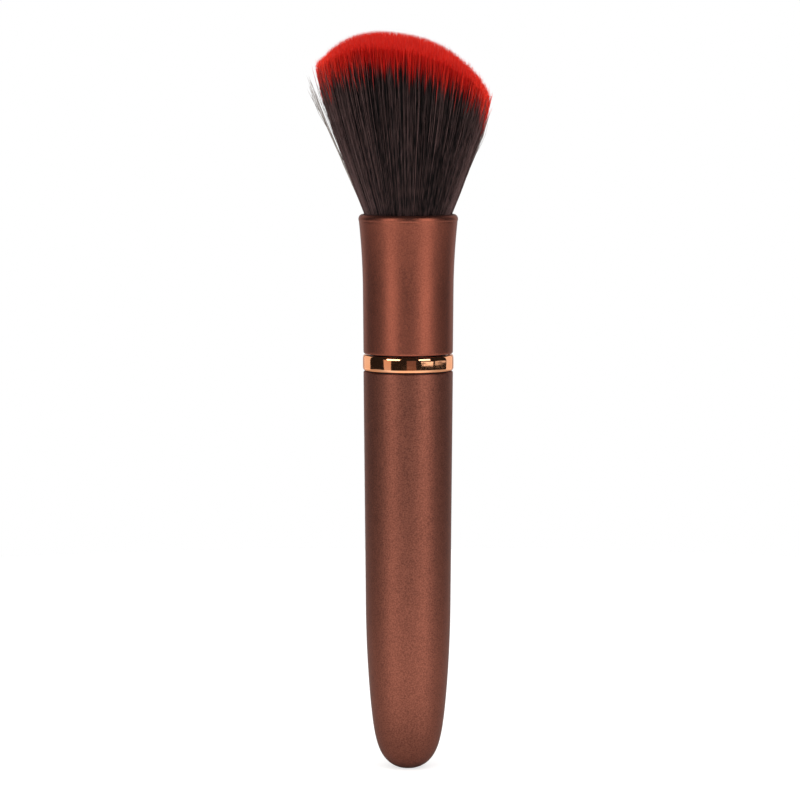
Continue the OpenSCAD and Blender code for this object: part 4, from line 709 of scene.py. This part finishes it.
# The ring is a mirror, so it gets cards of its own in place of the boxes: a bright one at each end and
# two high ones for the line under its upper edge, two slim ones on the right, and two dim ones in front.
for lamp in (
    light_box("left_card", -131, 0, 1.0, 0.66, 0.9, 1.85),
    light_box("right_card", 131, 0, 1.0, 0.66, 0.9, 1.85),
    light_box("high_left_card", -39, 14.5, 1.0, 0.56, 0.22, 2.2),
    light_box("high_right_card", 43, 14.5, 1.0, 0.55, 0.22, 1.7),
    light_box("low_right_card", 50, -3, 1.0, 0.62, 0.04, 0.12),
    light_box("far_right_card", 91, -3, 1.0, 0.66, 0.04, 0.07),
    light_box("dim_left_card", -53.5, -5, 1.0, 0.38, 0.5, 0.45, (1, 0.8, 0.7)),
    light_box("dim_front_card", 7.5, -5, 1.3, 0.56, 0.6, 0.19, (1, 0.6, 0.55)),
):
    lamp.light_linking.receiver_collection = ring_alone


def light_paths(tree):
    """1 for what the camera sees, also through something clear, and 1 for what gloss sees."""
    seen = add(tree, "LightPath", {}).outputs
    shown = compute(tree, "MAXIMUM", seen["Is Camera Ray"], seen["Is Transmission Ray"])
    return shown, seen["Is Glossy Ray"]


# The pale floor under the tail, which shows white to the camera and keeps the brush's shadow.
# It can be seen through from below.
FLOOR_R, FLOOR_STEPS = 0.45, 96
floor_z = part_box("handle_shell")[0][2]
turns = [2 * math.pi * i / FLOOR_STEPS for i in range(FLOOR_STEPS)]
floor_points = [(0, 0, floor_z)] + [(FLOOR_R * math.cos(a), FLOOR_R * math.sin(a), floor_z) for a in turns]
floor_faces = [(0, i + 1, (i + 1) % FLOOR_STEPS + 1) for i in range(FLOOR_STEPS)]
floor_mesh = bpy.data.meshes.new("floor")
floor_mesh.from_pydata(floor_points, [], floor_faces)
floor = bpy.data.objects.new("floor", floor_mesh)
bpy.context.scene.collection.objects.link(floor)

# White paper, uncoated: matte. For gloss it carries a painted glow: a painted shadow right under the tail,
# then painted light, more in front of the brush than behind it, and less again further out. Distances are in
# metres from the axis.
paper, tree = new_material("white_paper")
shown, in_gloss = light_paths(tree)
place = add(tree, "TexCoord", {}).outputs["Object"]
flat = add(tree, "VectorMath", {"operation": "MULTIPLY", 0: place, 1: (1, 1, 0)}).outputs[0]
far = add(tree, "VectorMath", {"operation": "LENGTH", 0: flat}).outputs["Value"]
# Painted shadow: the glow fades out right under the tail.
outside_painted_tail_shadow = slope(tree, far, 0.015, 0.10, smooth=True)
way = add(tree, "VectorMath", {"operation": "NORMALIZE", 0: flat}).outputs[0]
way = add(tree, "SeparateXYZ", {0: way}).outputs[1]
# Painted light: the glow is stronger in front of the brush than behind it, and weaker further out.
in_front = slope(tree, way, -0.1, -0.8, 0.15, 1.0, smooth=True)
near = slope(tree, far, 0.10, 0.22, 0.9, 0.48, smooth=True)
painted_gleam = compute(tree, "MULTIPLY", outside_painted_tail_shadow, in_front)
painted_gleam = compute(tree, "MULTIPLY", painted_gleam, near)
painted_gleam = compute(tree, "MULTIPLY", painted_gleam, in_gloss)
lift = compute(tree, "MULTIPLY_ADD", shown, 0.66, painted_gleam)
glow = add(tree, "Emission", {"Color": linear("#ffffff"), "Strength": lift}).outputs[0]
sheet = add(tree, "BsdfPrincipled", {"Base Color": linear("#b4b2b0"), "Roughness": 0.85}).outputs[0]
upper_side = add(tree, "AddShader", {0: glow, 1: sheet}).outputs[0]
from_below = add(tree, "NewGeometry", {}).outputs["Backfacing"]
clear = add(tree, "BsdfTransparent", {}).outputs[0]
surface = add(tree, "MixShader", {0: from_below, 1: upper_side, 2: clear}).outputs[0]
add(tree, "OutputMaterial", {"Surface": surface})
floor_mesh.materials.append(paper)

# The room: white where the camera looks, a plain fill light, and for gloss a dim room with a white
# backdrop behind the brush and a pale floor below it.
room = bpy.data.worlds.new("room")
room.use_nodes = True
tree = room.node_tree
tree.nodes.clear()
bpy.context.scene.world = room
shown, in_gloss = light_paths(tree)
direction = add(tree, "TexCoord", {}).outputs["Generated"]
split = add(tree, "SeparateXYZ", {0: direction})
behind = slope(tree, split.outputs[1], 0.80, 0.95, 0.02, 0.7, smooth=True)
below = slope(tree, split.outputs[2], -0.15, -0.19, 0.0, 0.66, smooth=True)
gloss = compute(tree, "MAXIMUM", behind, below)
fill = add(tree, "Mix", {"data_type": "FLOAT", 0: in_gloss, 2: 0.72, 3: gloss}).outputs[0]
level = add(tree, "Mix", {"data_type": "FLOAT", 0: shown, 2: fill, 3: 1.0}).outputs[0]
sky = add(tree, "Background", {"Color": linear("#ffffff"), "Strength": level}).outputs[0]
add(tree, "OutputWorld", {"Surface": sky})
